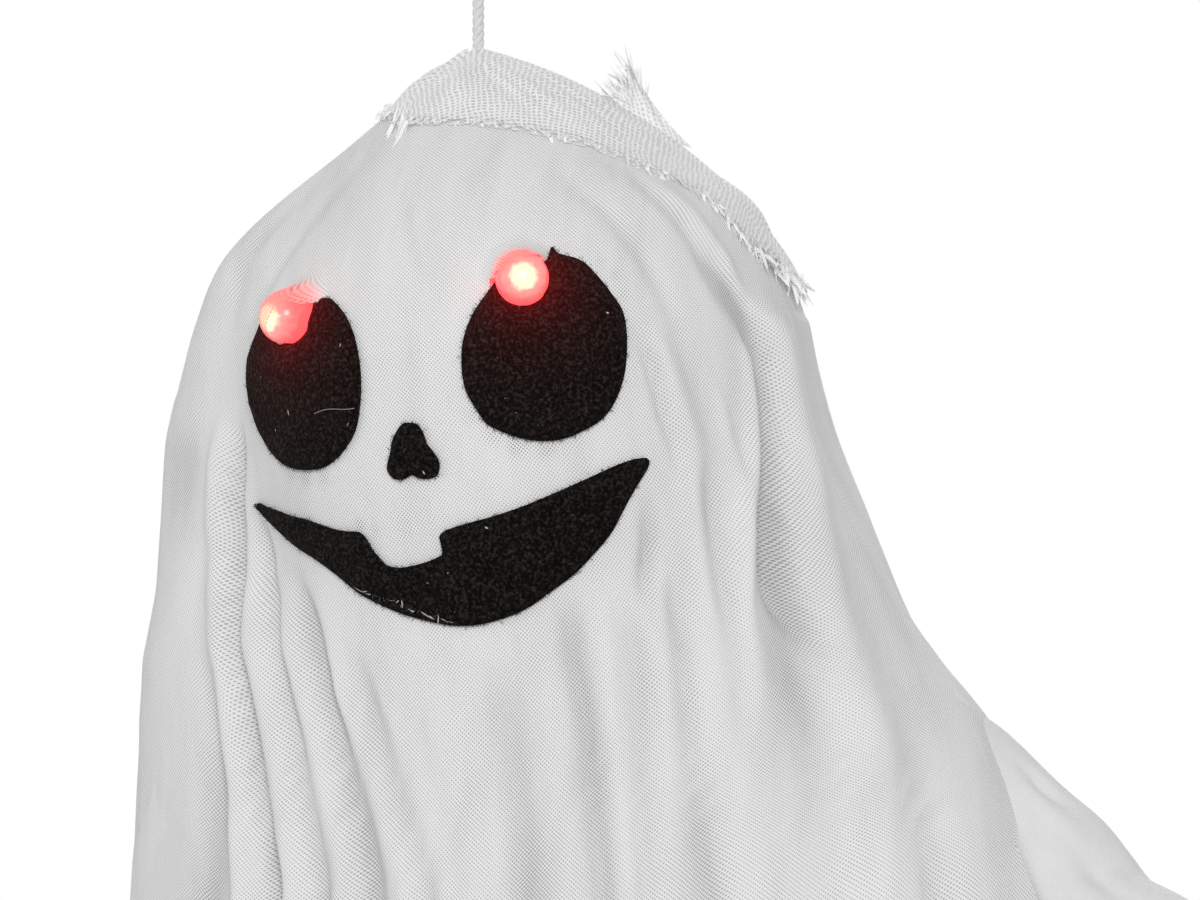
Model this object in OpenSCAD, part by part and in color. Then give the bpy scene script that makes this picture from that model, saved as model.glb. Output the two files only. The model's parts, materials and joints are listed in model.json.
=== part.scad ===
// Animated hanging ghost: a hollow leaning head with light-up eyes hangs from a cord loop.
// A drive box under the head turns the shoulders, arms and skirt from side to side.
// Millimetres, +Z up, face towards -Y, origin where a hook bears in the hanging loop.

/* [Hanging] */
// Diameter of the hanging cord
cord_d = 2.4; // [1.8:0.2:3.2]
// Depth of the head's crown below the hook
crown_drop = 63; // [60:1:75]
// Lean of the head to its right, in degrees
head_lean = 8; // [0:1:12]

/* [Head] */
// Largest radius of the head
head_r = 56; // [46:1:70]
// Height of the crown above the head's widest level
head_up = 57; // [46:1:70]
// Depth of the jaw curve below the head's widest level
head_down = 70; // [58:1:85]
// Wall of the head shells
head_wall = 2.2; // [1.6:0.1:3]
// Diameter of the eye lamps
lamp_d = 10; // [8:1:12]
// Angle of each eye lamp from straight ahead
lamp_angle = 25; // [20:1:30]
// Height of the eye lamps above the widest level
lamp_up = 11; // [8:0.5:18]

/* [Face] */
// Thickness of the felt
felt_t = 1.2; // [0.8:0.1:2]
// Width of an eye patch
eye_w = 33; // [26:1:38]
// Height of an eye patch
eye_h = 38; // [30:1:42]
// Width of the mouth patch, measured straight across
mouth_w = 82; // [64:1:92]

/* [Neck and shoulders] */
// Outer diameter of the neck tube
neck_d = 16; // [14:1:18]
// Wall of the neck tube
neck_wall = 2.4; // [1.6:0.2:3]
// Height of the shoulder hub above its gear
hub_h = 21.8; // [20:0.2:26]
// Distance from the neck to each elbow
elbow_reach = 76; // [70:1:96]
// Length of a forearm from elbow to wire end
forearm = 120; // [90:5:150]
// Diameter of the arm wire
wire_d = 4; // [3:0.5:5]
// Diameter of the arm padding
pad_d = 16; // [14:1:18]
// Bend at the left elbow, in degrees
left_bend = 52; // [40:1:70]
// Bend at the right elbow, in degrees
right_bend = 60; // [50:1:75]

/* [Drive box] */
// Width of the drive box
box_w = 84; // [84:1:90]
// Depth of the drive box
box_dp = 52; // [52:1:58]
// Height of the drive box
box_h = 111; // [111:1:125]
// Wall of the drive box
box_wall = 2.4; // [2:0.1:3]
// Diameter of a battery
cell_d = 14.5; // [14.5:0.1:15]
// Length of a battery
cell_l = 50.5; // [50:0.1:51]

/* [Cloth] */
// Thickness of the cloth
cloth_t = 0.8; // [0.6:0.1:1.2]
// Depth of the veil's hem below the hook
veil_drop = 470; // [420:10:520]
// Depth of the skirt's hem below the hook
skirt_drop = 905; // [800:5:920]
// Radius of the hoop that the skirt hangs from
hoop_r = 58; // [56:1:60]
// Radius of the skirt at its hem
hem_r = 138; // [110:1:150]

/* [Hidden] */
$fn = 48;

// Clearances
run_gap = 0.06;      // radial gap of a running fit
press_gap = 0.05;    // radial gap of a part that is pushed home and glued
air = 0.3;           // gap between curved faces that only meet
eps = 0.01;

// Head places, in the head's own leaning frame with the crown at zero
jaw_cut = 3;                                 // the jaw curve is cut flat this far above its end
chin_z = -(head_up + head_down - jaw_cut);
jaw_power = 3.2;                             // squareness of the jaw curve
crown_power = 1.55;                          // below 2 the crown is more pointed than an egg
profile_steps = 9;
neck_x = (head_up + head_down) * sin(head_lean);
veil_gap = 1.2;                              // between the head and the veil
face_gap = veil_gap + cloth_t + 0.3;         // between the head and the felt
lamp_proud = 5;                              // from the head's wall to the centre of a lamp's dome
boss_d = 8;
screw_d = 3;
head_screw_at = [[-36, -46], [36, -46], [-34, -88], [34, -88]];
neck_boss_d = 26;
neck_boss_h = 14;

// Heights on the neck, in the shelf's own frame
head_low = crown_drop - chin_z * cos(head_lean) + head_radius(chin_z, 0) * sin(head_lean);
gear_face = 6;
washer_t = 1;
hub_lift = washer_t + 0.2;
hub_top_gap = 1;
box_top = -(head_low + hub_top_gap + hub_h + gear_face + hub_lift);
arm_up = 9 + 0.75 * pad_d;                   // arm wires above the box's top
neck_flange_t = 3;
neck_foot = 8;                               // neck tube inside the box

// Gears: module, teeth and places on the box's top
tooth_angle = 25;
tooth_slack = 0.12;
hub_module = 1;
hub_teeth = 36;
out_teeth = 12;
train_module = 0.6;
wheel_teeth = 36;
pinion_teeth = 10;
out_at = [hub_module * (hub_teeth + out_teeth) / 2, 0];
train_step = train_module * (wheel_teeth + pinion_teeth) / 2;
idler_turn = 150;                            // direction from the output shaft to the idler
motor_turn = 180;                            // direction from the idler to the motor
idler_at = out_at + train_step * [cos(idler_turn), sin(idler_turn)];
motor_at = idler_at + train_step * [cos(motor_turn), sin(motor_turn)];
train_face = 4;
upper_z = -16;                               // output gear and the idler's small teeth
lower_z = -22;                               // idler's large teeth and the motor pinion
plate_top = -24;
plate_t = 2.5;
shaft_d = 4;
pin_d = 2;
motor_d = 20;
motor_l = 25;

// Box inside
in_x = box_w / 2 - box_wall;
in_y = box_dp / 2 - box_wall;
box_screw_at = [for (x = [-34, 34], z = [-6.6, -(box_h - 8)]) [x, z]];
cell_pitch = cell_d + 1.5;
cell_y = 14;
tray_wall = 1.8;
tray_gap = 0.25;
contact_t = 0.6;
cell_low = -(box_h - box_wall - tray_gap - tray_wall - contact_t - 0.1);
tray_low = -(box_h - box_wall - tray_gap);
tray_high = cell_low + cell_l + contact_t + tray_wall + 0.1;
tray_half = 1.5 * cell_pitch + tray_wall;
door_half = tray_half + 1;
door_t = 2;
door_screw_z = tray_high + 4;
board_w = 56;
board_h = 33;
board_t = 1.6;
board_y = -17.6;
board_z = -45.5;
board_screw_at = [[-24, -45.5], [24, -45.5]];
speaker_r = 18;
speaker_z = -80;
switch_at = [-18, -12];
switch_travel = 4;
knob_w = 4;

// Cloth forms
veil_cols = 24;
veil_rows = 19;
head_rows = 7;
veil_folds = 12;
skirt_cols = 12;
skirt_rows = 10;
skirt_folds = 9;
sleeve_sides = 14;
sleeve_rings = 12;

// Hanging cord, from the stop knot up to the hanging knot, round the loop and back
cord_route = [[0, 0, -71], [0, 0, -64], [0, 0, -58], [0, 0, -52], [0, 0, -46], [0, 0, -40], [0.5, 0, -35],
    [2, 0, -30], [5, 0, -25], [8, 0, -19], [10, 0, -13], [9, 0, -7], [6, 0, -2], [2, 0, 1], [-2, 0, 1],
    [-6, 0, -2], [-9, 0, -7], [-10, 0, -13], [-8, 0, -19], [-5, 0, -25], [-2.6, 0, -30], [-2.6, 0, -34]];
knot_z = -33.5;
knot_d = 9;
// Lamp leads, from the back of a lamp to the top edge of the circuit board
lead_d = 1.4;
lead_left = [[24.2, -38.5, -106.1], [23, -35.9, -107.8], [20.4, -29, -113], [18, -20, -123.5], [17, -10, -139],
    [18.5, -3, -155], [19.4, 0, -172], [19.4, 0, -190], [19.4, 0, -210], [19.4, 0, -228], [19.4, -4, -236],
    [20.4, -11, -242], [20.4, -13.5, -250.4]];
lead_right = [[-11.4, -38.5, -111], [-10.1, -35.9, -112.4], [-6, -29, -117], [2, -20, -127], [10, -10, -140],
    [15, -3, -155], [16, 0, -172], [16, 0, -190], [16, 0, -210], [16, 0, -228], [15.8, -4, -236],
    [15, -11, -242], [15, -13.5, -250.4]];

// Places a child in the head's leaning frame
module in_head() {
    translate([0, 0, -crown_drop]) rotate([0, -head_lean, 0]) children();
}

// Places a child on the top of the drive box
module on_box() {
    translate([neck_x, 0, box_top]) children();
}

// Places a child on the arm line, where X runs out along the left arm
module on_arms() {
    translate([neck_x, 0, box_top + arm_up]) rotate([0, -head_lean, 0]) children();
}

function leaned(p) = [p.x * cos(head_lean) - p.z * sin(head_lean), p.y,
    p.x * sin(head_lean) + p.z * cos(head_lean) - crown_drop];

// Half outline of the head grown by a distance, from the crown down to the flat chin
function head_rim(grow) = let (a = head_r + grow, up = head_up + grow, down = head_down + grow)
    concat([for (i = [0 : profile_steps]) let (t = 90 - 90 * i / profile_steps)
        [a * pow(cos(t), 2 / crown_power), up * pow(sin(t), 2 / crown_power) - head_up]],
        [for (i = [1 : profile_steps]) let (t = jaw_end(grow) * i / profile_steps)
        [a * pow(cos(t), 2 / jaw_power), -down * pow(sin(t), 2 / jaw_power) - head_up]]);
function jaw_end(grow) = asin(pow((head_down - jaw_cut + grow) / (head_down + grow), jaw_power / 2));

// Radius of the head grown by a distance, at a height in its own frame
function head_radius(z, grow) = let (h = z + head_up, span = h > 0 ? head_up : head_down,
        power = h > 0 ? crown_power : jaw_power, share = min(1, abs(h) / (span + grow)))
    (head_r + grow) * pow(1 - pow(share, power), 1 / power);
// Height of the crown's curve at a radius, in the head's own frame
function crown_height(r, grow) = (head_up + grow)
    * pow(1 - pow(r / (head_r + grow), crown_power), 1 / crown_power) - head_up;

module head_solid(grow) {
    rim = head_rim(grow);
    rotate_extrude() polygon(concat(rim, [[0, rim[len(rim) - 1].y], [0, rim[0].y]]));
}

// One half of a thing cut at the plane y = 0; side is -1 for the front
module half(side, size = 400) {
    intersection() {
        children();
        translate([-size, side < 0 ? -size : 0, -size]) cube([2 * size, size, 2 * size]);
    }
}

// A tube of sides swept along a route; ref is never along the route
function unit(v) = v / norm(v);
function route_way(r, i) = unit(r[min(i + 1, len(r) - 1)] - r[max(i - 1, 0)]);
function route_ring(r, i, d, sides, ref) = let (way = route_way(r, i), a = unit(cross(way, ref)),
        b = cross(way, a)) [for (k = [0 : sides - 1]) let (t = 360 * k / sides)
        r[i] + d / 2 * (a * cos(t) + b * sin(t))];
module swept(r, d, ref, sides = 8) {
    n = len(r);
    rings = [for (i = [0 : n - 1]) each route_ring(r, i, d, sides, ref)];
    last = (n - 1) * sides;
    polyhedron(rings, concat(
        [for (i = [0 : n - 2], k = [0 : sides - 1]) let (m = (k + 1) % sides, o = i * sides)
            each [[o + k, o + sides + m, o + m], [o + k, o + sides + k, o + sides + m]]],
        [for (k = [1 : sides - 2]) [0, k, k + 1]],
        [for (k = [1 : sides - 2]) [last, last + k + 1, last + k]]));
}

// A thin solid between two nets of points; rows run down and columns run round
module cloth(outer, inner, closed = false) {
    rows = len(outer);
    cols = len(outer[0]);
    back = rows * cols;
    steps = closed ? cols : cols - 1;
    function at(i, j) = i * cols + j % cols;
    skin = [for (i = [0 : rows - 2], j = [0 : steps - 1]) each
        [[at(i, j), at(i, j + 1), at(i + 1, j + 1)], [at(i, j), at(i + 1, j + 1), at(i + 1, j)]]];
    ends = [for (j = [0 : steps - 1]) each [
        [at(0, j + 1), at(0, j), back + at(0, j)], [at(0, j + 1), back + at(0, j), back + at(0, j + 1)],
        [at(rows - 1, j), at(rows - 1, j + 1), back + at(rows - 1, j + 1)],
        [at(rows - 1, j), back + at(rows - 1, j + 1), back + at(rows - 1, j)]]];
    sides = closed ? [] : [for (i = [0 : rows - 2]) each [
        [at(i, 0), at(i + 1, 0), back + at(i + 1, 0)], [at(i, 0), back + at(i + 1, 0), back + at(i, 0)],
        [at(i + 1, cols - 1), at(i, cols - 1), back + at(i, cols - 1)],
        [at(i + 1, cols - 1), back + at(i, cols - 1), back + at(i + 1, cols - 1)]]];
    polyhedron([each [for (row = outer) each row], each [for (row = inner) each row]],
        concat(skin, [for (f = skin) [back + f[0], back + f[2], back + f[1]]], ends, sides));
}

// Outline of a spur gear with its first tooth along +X
function roll(a) = tan(a) * 180 / PI - a;
function gear_outline(mod, teeth) = let (pitch = mod * teeth / 2, base = pitch * cos(tooth_angle),
        tip = pitch + 0.85 * mod, root = pitch - 1.1 * mod, low = max(base, root),
        half_tooth = (PI * mod / 2 - tooth_slack) / 2 / pitch * 180 / PI,
        flank = [for (i = [0 : 4]) let (r = low + (tip - low) * i / 4)
            [r, half_tooth + roll(tooth_angle) - roll(acos(base / r))]])
    [for (k = [0 : teeth - 1]) let (c = 360 * k / teeth) each concat(
        [root * [cos(c - flank[0][1]), sin(c - flank[0][1])]],
        [for (f = flank) f[0] * [cos(c - f[1]), sin(c - f[1])]],
        [for (i = [4 : -1 : 0]) flank[i][0] * [cos(c + flank[i][1]), sin(c + flank[i][1])]],
        [root * [cos(c + flank[0][1]), sin(c + flank[0][1])]])];
module spur(mod, teeth, h, turn) {
    rotate([0, 0, turn]) linear_extrude(h) polygon(gear_outline(mod, teeth));
}

module rounded_rect(w, h, r) {
    square([w - 2 * r, h], center = true);
    square([w, h - 2 * r], center = true);
    for (x = [-1, 1], y = [-1, 1]) translate([x * (w / 2 - r), y * (h / 2 - r)]) circle(r);
}

// A hole or rod along +Y through a point
module along_y(x, z, d, y0, y1) {
    translate([x, y0, z]) rotate([-90, 0, 0]) cylinder(d = d, h = y1 - y0);
}

// Hanging cord and what holds it

module hang_cord() {
    color("whitesmoke") swept(cord_route, cord_d, [0, 1, 0]);
}

module hang_knot() {
    color("whitesmoke") difference() {
        translate([0, 0, knot_z]) sphere(d = knot_d);
        swept(cord_route, cord_d + 0.1, [0, 1, 0]);
    }
}

// Knot that stops the cord under the crown washer
module stop_knot() {
    color("whitesmoke") translate([0, 0, -crown_drop - 12]) sphere(d = 8);
}

washer_d = 14;
module stop_washer() {
    top = 0.3 - crown_height(washer_d / 2, -head_wall);
    color("silver") in_head() translate([0, 0, -top - 1.5]) difference() {
        cylinder(d = washer_d, h = 1.5);
        translate([0, 0, -eps]) cylinder(d = cord_d + 1.6, h = 2);
    }
}

// Head

// Hole or rod on a lamp's own axis, between two distances from the head's axis
module on_lamp(side) {
    rotate([0, 0, side * lamp_angle]) translate([0, 0, lamp_up - head_up]) rotate([90, 0, 0]) children();
}
lamp_r = head_radius(lamp_up - head_up, 0);   // head's radius at the lamps
holder_d = lamp_d + 2.6;
holder_seat = head_radius(lamp_up - head_up + holder_d / 2 + 1.5, -head_wall) - 0.5; // flange's front

module head_half(side) {
    half(side) difference() {
        union() {
            difference() {
                head_solid(0);
                head_solid(-head_wall);
            }
            intersection() {
                head_solid(-head_wall / 2);
                union() {
                    for (p = head_screw_at) along_y(p.x, p.y, boss_d, -head_r, head_r);
                    translate(neck_in_head) rotate([0, head_lean, 0]) translate([0, 0, -40])
                        cylinder(d = neck_boss_d, h = 40 + neck_boss_h);
                }
            }
        }
        for (p = head_screw_at) {
            along_y(p.x, p.y, screw_d - 0.4, -14, head_r);
            along_y(p.x, p.y, screw_d + 0.4, eps, head_r);
            along_y(p.x, p.y, 6.4, 14, head_r);
        }
        translate(neck_in_head) rotate([0, head_lean, 0]) translate([0, 0, -60])
            cylinder(d = neck_d + 2 * press_gap, h = 80);
        translate([0, 0, -20]) cylinder(d = cord_d + 1.2, h = 40);
        for (s = [-1, 1]) on_lamp(s) translate([0, 0, 30]) cylinder(d = holder_d + 2 * press_gap, h = 50);
    }
}
// Point on the neck's axis at the chin, in the head's frame
neck_in_head = [0, 0, -(head_up + head_down)];

module head_front_shell() {
    color("white") in_head() head_half(-1);
}

module head_rear_shell() {
    color("white") in_head() head_half(1);
}

module head_screws() {
    color("silver") in_head() for (p = head_screw_at) {
        along_y(p.x, p.y, screw_d - 0.5, -10, 14);
        along_y(p.x, p.y, 5.6, 14, 16.4);
    }
}

module lamp_holder(side) {
    color("white") in_head() on_lamp(side) difference() {
        union() {
            translate([0, 0, lamp_r - 9]) cylinder(d = holder_d, h = 8);
            translate([0, 0, lamp_r - 9]) cylinder(d = holder_d + 3, h = min(3, holder_seat - lamp_r + 9));
        }
        translate([0, 0, lamp_r - 12]) cylinder(d = lamp_d + 0.2, h = 20);
    }
}

module eye_lamp(side) {
    color("red") in_head() on_lamp(side) {
        translate([0, 0, lamp_r - 10]) cylinder(d = lamp_d, h = 10 + lamp_proud);
        translate([0, 0, lamp_r + lamp_proud]) sphere(d = lamp_d);
        translate([0, 0, lamp_r - 10.2]) cylinder(d = lamp_d + 1.6, h = 1.1);
    }
}

module lamp_leads() {
    color("firebrick") {
        swept(lead_left, lead_d, [1, 0, 0]);
        swept(lead_right, lead_d, [1, 0, 0]);
    }
}

// Felt face, cut from a skin that follows the head

module felt(outline_turn = 0) {
    color("black") in_head() intersection() {
        difference() {
            head_solid(face_gap + felt_t);
            head_solid(face_gap);
        }
        rotate([0, 0, outline_turn]) translate([0, 0, -head_up]) rotate([90, 0, 0])
            linear_extrude(2 * head_r) children();
    }
}

// Egg outline, fuller below its middle, with a round notch for the lamp at its top
eye_up = 1.5;
eye_side_arc = [for (t = [0 : 10 : 350])
    [eye_w / 2 * cos(t) * (1 - 0.06 * sin(t)), eye_up + eye_h / 2 * sin(t)]];
module eye_outline() {
    difference() {
        polygon(eye_side_arc);
        translate([0, lamp_up]) circle(d = lamp_d + 2);
    }
}

module eye_patch(side) {
    felt(side * lamp_angle) eye_outline();
}

// Upside-down heart: narrow top, two round lobes and a notch below
nose_w = 11.5;
nose_h = 12;
nose_side = [[1.2, 0.5], [2.2, 0.42], [3.6, 0.1], [5.2, -0.2], [5.75, -0.32], [5.5, -0.42], [4.4, -0.5],
    [2.8, -0.5], [1.2, -0.42], [0, -0.3]];
nose_outline = [for (q = nose_side) [q.x * nose_w / 11.5, q.y * nose_h]];
module nose_patch() {
    felt() translate([0, -15]) polygon(concat(nose_outline,
        [for (i = [len(nose_outline) - 2 : -1 : 0]) [-nose_outline[i].x, nose_outline[i].y]]));
}

// Grin with one tooth: an arc below, a flatter arc above
mouth_top = -21;
mouth_low = -51;
lip_dip = -34;
tooth_half = 7;
tooth_low = -42;
function grin(x, dip) = mouth_top + (dip - mouth_top) * (1 - pow(abs(x) / (mouth_w / 2), 2));
mouth_xs = [for (i = [-12 : 12]) i * mouth_w / 24];
module mouth_patch() {
    felt() difference() {
        polygon(concat([for (x = mouth_xs) [x, grin(x, lip_dip)]],
            [for (i = [len(mouth_xs) - 2 : -1 : 1]) [mouth_xs[i], grin(mouth_xs[i], mouth_low)]]));
        polygon([[-tooth_half - 3, lip_dip + 2], [-tooth_half, tooth_low], [tooth_half - 2, tooth_low + 1],
            [tooth_half - 1, lip_dip + 2]]);
    }
}

// Veil: two gauze panels that meet along the sides, open below the elbows for the arms

head_mid = leaned([0, 0, -head_up]);
veil_edge = 89.3;
hem_edge = 62;
slit_top = 45;                               // depth below the head's middle where the sides open
function smooth(t) = let (u = max(0, min(1, t))) u * u * (3 - 2 * u);
function veil_reach(depth) = depth < slit_top ? veil_edge
    : depth < slit_top + 20 ? veil_edge - 12 * (depth - slit_top) / 20
    : veil_edge - 12 - (veil_edge - 12 - hem_edge) * (depth - slit_top - 20) / (veil_drop - 190);
// Distance of the hanging veil from its axis, by direction and depth
function veil_radius(phi, depth) = let (side = pow(abs(cos(phi)), 2.5),
        fall = head_r + 4 + 0.14 * depth,
        arm = head_r + 4 + (elbow_reach + pad_d + 1 - head_r) * min(1, depth / (72 - 12 * cos(phi)))
            + 0.05 * depth)
    fall + (max(arm, fall) - fall) * side + 9 * smooth(depth / 300) * cos(veil_folds * phi);
function veil_axis(depth) = head_mid.x + (neck_x - head_mid.x) * smooth(depth / 80);
function veil_top(phi, row, grow) = let (t = 86 - 86 * row / head_rows,
        r = (head_r + grow) * pow(cos(t), 2 / crown_power),
        z = (head_up + grow) * pow(sin(t), 2 / crown_power) - head_up)
    leaned([r * cos(phi), r * sin(phi), z]);
// How closely the veil follows the face, by direction and depth
function veil_cling(phi, depth) = smooth((sin(-phi) - cos(78)) / (cos(54) - cos(78)))
    * (1 - smooth((depth - face_low - 2) / 25));
function veil_fall(phi, w, inward) = let (brim = veil_top(phi, head_rows, 0).z,
        z = brim + (-veil_drop - brim) * w, depth = max(0, head_mid.z - z),
        r = veil_radius(phi, depth) - inward, cling = veil_cling(phi, depth),
        level = max(-head_up - depth / cos(head_lean), chin_z + 4),
        face = head_radius(level, veil_gap + cloth_t - inward))
    (1 - cling) * [veil_axis(depth) + r * cos(phi), r * sin(phi), z]
        + cling * leaned([face * cos(phi), face * sin(phi), level]);
face_rows = 5;
face_low = 60;                               // depth down to which the veil follows the face
fall_rows = veil_rows - head_rows - face_rows;
function veil_depth(k) = k <= face_rows ? face_low * k / face_rows
    : face_low + (veil_drop + head_mid.z - face_low) * pow((k - face_rows) / fall_rows, 1.3);
function veil_share(i) = veil_depth(i - head_rows) / (veil_drop + head_mid.z);
function veil_net(middle, inward) = [for (i = [0 : veil_rows])
    let (drop = i <= head_rows ? 0 : veil_share(i) * (veil_drop + head_mid.z))
    [for (j = [0 : veil_cols]) let (phi = middle + veil_reach(drop) * (2 * j / veil_cols - 1))
        i <= head_rows ? veil_top(phi, i, veil_gap + cloth_t - inward)
            : veil_fall(phi, veil_share(i), inward)]];
module veil_panel(middle) {
    cloth(veil_net(middle, 0), veil_net(middle, cloth_t));
}

module veil_front() {
    color("whitesmoke") difference() {
        veil_panel(-90);
        in_head() for (s = [-1, 1]) on_lamp(s) translate([0, 0, 30]) cylinder(d = holder_d + 1, h = 50);
    }
}

module veil_back() {
    color("whitesmoke") veil_panel(90);
}

// Loose scrap of open gauze over the crown and the left temple
wrap_gap = face_gap + 0.4;
wrap_cols = 18;
wrap_rows = 7;
function wrap_net(inward) = [for (i = [0 : wrap_rows]) [for (j = [0 : wrap_cols])
    let (turn = -38 + 150 * j / wrap_cols, end = 52 + 6 * cos(3 * turn),
        t = 82 - (82 - end + 34) * i / wrap_rows,
        lift = wrap_gap + cloth_t - inward + 1.6 * i / wrap_rows * (1 + cos(6 * turn)))
    leaned([(head_r + lift) * pow(cos(t), 2 / crown_power) * cos(turn),
        (head_r + lift) * pow(cos(t), 2 / crown_power) * sin(turn),
        (head_up + lift) * pow(sin(t), 2 / crown_power) - head_up])]];
module crown_wrap() {
    color("white") cloth(wrap_net(0), wrap_net(cloth_t));
}

// Neck

neck_top = leaned(neck_in_head).z + neck_boss_h;
module neck_tube() {
    color("gainsboro") translate([neck_x, 0, 0]) difference() {
        union() {
            translate([0, 0, box_top - neck_foot])
                cylinder(d = neck_d, h = neck_top - box_top + neck_foot + neck_flange_t / 2);
            translate([0, 0, neck_top]) cylinder(d = neck_d + 6, h = neck_flange_t);
            translate([0, 0, box_top - box_wall - neck_flange_t]) cylinder(d = neck_d + 3, h = neck_flange_t);
        }
        translate([0, 0, box_top - 20]) cylinder(d = neck_d - 2 * neck_wall, h = neck_top - box_top + 40);
    }
}

// Drive box

module box_shell() {
    difference() {
        translate([0, 0, -box_h]) linear_extrude(box_h) rounded_rect(box_w, box_dp, 6);
        translate([0, 0, -box_h + box_wall]) linear_extrude(box_h - 2 * box_wall)
            rounded_rect(2 * in_x, 2 * in_y, 6 - box_wall);
    }
}

module box_half(side) {
    half(side) difference() {
        union() {
            box_shell();
            for (p = box_screw_at) along_y(p.x, p.y, 7.2, -in_y - eps, in_y + eps);
            for (x = [-1, 1]) translate([x * (in_x - 1.4) - 1.5, -7, plate_top - plate_t - 3])
                cube([3, 26, 3]);
        }
        translate([0, 0, -20]) cylinder(d = neck_d + 2 * press_gap, h = 40);
        translate([out_at.x, out_at.y, -20]) cylinder(d = shaft_d + 2 * run_gap, h = 40);
        for (p = box_screw_at) {
            along_y(p.x, p.y, screw_d - 0.4, -14, in_y);
            along_y(p.x, p.y, screw_d + 0.4, eps, box_dp);
            along_y(p.x, p.y, 6.4, in_y - 1, box_dp);
        }
    }
}

// Speaker holes: a centre hole and rings of holes round it
speaker_holes = [[0, 0], each [for (ring = [1 : 2], k = [0 : 6 * ring - 1])
    5.5 * ring * [cos(60 / ring * k), sin(60 / ring * k)]]];

module box_front() {
    color("whitesmoke") on_box() {
        difference() {
            box_half(-1);
            for (p = speaker_holes) along_y(p.x, speaker_z + p.y, 2.6, -box_dp, -in_y + 1);
            translate([switch_at.x - (knob_w + switch_travel) / 2 - 0.4, switch_at.y - 2.3, -box_h - 1])
                cube([knob_w + switch_travel + 0.8, 4.6, box_wall + 2]);
        }
        for (p = board_screw_at) difference() {
            along_y(p.x, p.y, 7, -in_y - eps, board_y);
            along_y(p.x, p.y, 2.2, -in_y + 1, board_y + 1);
        }
    }
}

module box_back() {
    color("whitesmoke") on_box() difference() {
        union() {
            box_half(1);
            along_y(0, door_screw_z, 7, in_y - 4, in_y + eps);
            translate([idler_at.x, idler_at.y, -10]) cylinder(d = pin_d + 2.4, h = 10 - box_wall + eps);
        }
        translate([-tray_half, in_y - 1, tray_low]) cube([2 * tray_half, box_dp, tray_high - tray_low]);
        along_y(0, door_screw_z, screw_d + 0.2, in_y - 5, box_dp);
        translate([idler_at.x, idler_at.y, -20]) cylinder(d = pin_d + 2 * press_gap, h = 16);
    }
}

module box_screws() {
    color("silver") on_box() for (p = box_screw_at) {
        along_y(p.x, p.y, screw_d - 0.5, -12, in_y - 1);
        along_y(p.x, p.y, 5.6, in_y - 1, in_y + 1.4);
    }
}

module thrust_washer() {
    color("silver") on_box() difference() {
        cylinder(d = 30, h = washer_t);
        translate([0, 0, -1]) cylinder(d = neck_d + 0.6, h = 3);
    }
}

// Gear train

module gear_plate() {
    color("gainsboro") on_box() difference() {
        translate([-in_x + 0.2, -8, plate_top - plate_t]) cube([2 * in_x - 0.4, 28, plate_t]);
        translate([motor_at.x, motor_at.y, plate_top - 10]) cylinder(d = 6.4, h = 20);
        translate([idler_at.x, idler_at.y, plate_top - 10]) cylinder(d = pin_d + 2 * press_gap, h = 20);
        translate([out_at.x, out_at.y, plate_top - 10]) cylinder(d = shaft_d + 2 * run_gap, h = 20);
    }
}

module motor() {
    low = plate_top - plate_t - motor_l;
    color("silver") on_box() translate([motor_at.x, motor_at.y, low]) difference() {
        union() {
            cylinder(d = motor_d, h = motor_l);
            translate([0, 0, motor_l - eps]) cylinder(d = 6, h = 1.8);
            translate([0, 0, -0.9]) cylinder(d = 7, h = 0.9 + eps);
        }
        translate([0, 0, motor_l - 8]) cylinder(d = pin_d + 2 * run_gap, h = 20);
    }
}

module motor_shaft() {
    base = plate_top - plate_t - 7.9;
    color("silver") on_box() translate([motor_at.x, motor_at.y, base])
        cylinder(d = pin_d, h = lower_z + train_face - base);
}

module motor_pinion() {
    color("goldenrod") on_box() translate([motor_at.x, motor_at.y, lower_z]) difference() {
        spur(train_module, pinion_teeth, train_face, motor_turn + 180 + 180 / pinion_teeth);
        translate([0, 0, -1]) cylinder(d = pin_d + 0.04, h = 20);
    }
}

module idler_pin() {
    base = plate_top - plate_t;
    color("silver") on_box() translate([idler_at.x, idler_at.y, base]) cylinder(d = pin_d, h = -4.2 - base);
}

module idler_gear() {
    color("ivory") on_box() translate([idler_at.x, idler_at.y, 0]) difference() {
        union() {
            translate([0, 0, upper_z]) spur(train_module, pinion_teeth, train_face,
                idler_turn + 180 + 180 / pinion_teeth);
            translate([0, 0, lower_z]) spur(train_module, wheel_teeth, train_face, motor_turn);
            translate([0, 0, lower_z + train_face - eps])
                cylinder(d = 4, h = upper_z - lower_z - train_face + 2 * eps);
            translate([0, 0, plate_top + 0.2]) cylinder(d = 4, h = lower_z - plate_top);
        }
        translate([0, 0, -40]) cylinder(d = pin_d + 2 * run_gap, h = 40);
    }
}

module output_shaft() {
    base = plate_top - plate_t;
    color("silver") on_box() translate([out_at.x, out_at.y, base])
        cylinder(d = shaft_d, h = hub_lift + gear_face - base);
}

module output_gear() {
    color("ivory") on_box() translate([out_at.x, out_at.y, upper_z]) difference() {
        spur(train_module, wheel_teeth, train_face, idler_turn);
        translate([0, 0, -1]) cylinder(d = shaft_d + 0.04, h = 20);
    }
}

module output_pinion() {
    color("ivory") on_box() translate([out_at.x, out_at.y, hub_lift]) difference() {
        spur(hub_module, out_teeth, gear_face, 180 + 180 / out_teeth);
        translate([0, 0, -1]) cylinder(d = shaft_d + 0.04, h = 20);
    }
}

// Power, sound and control

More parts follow.
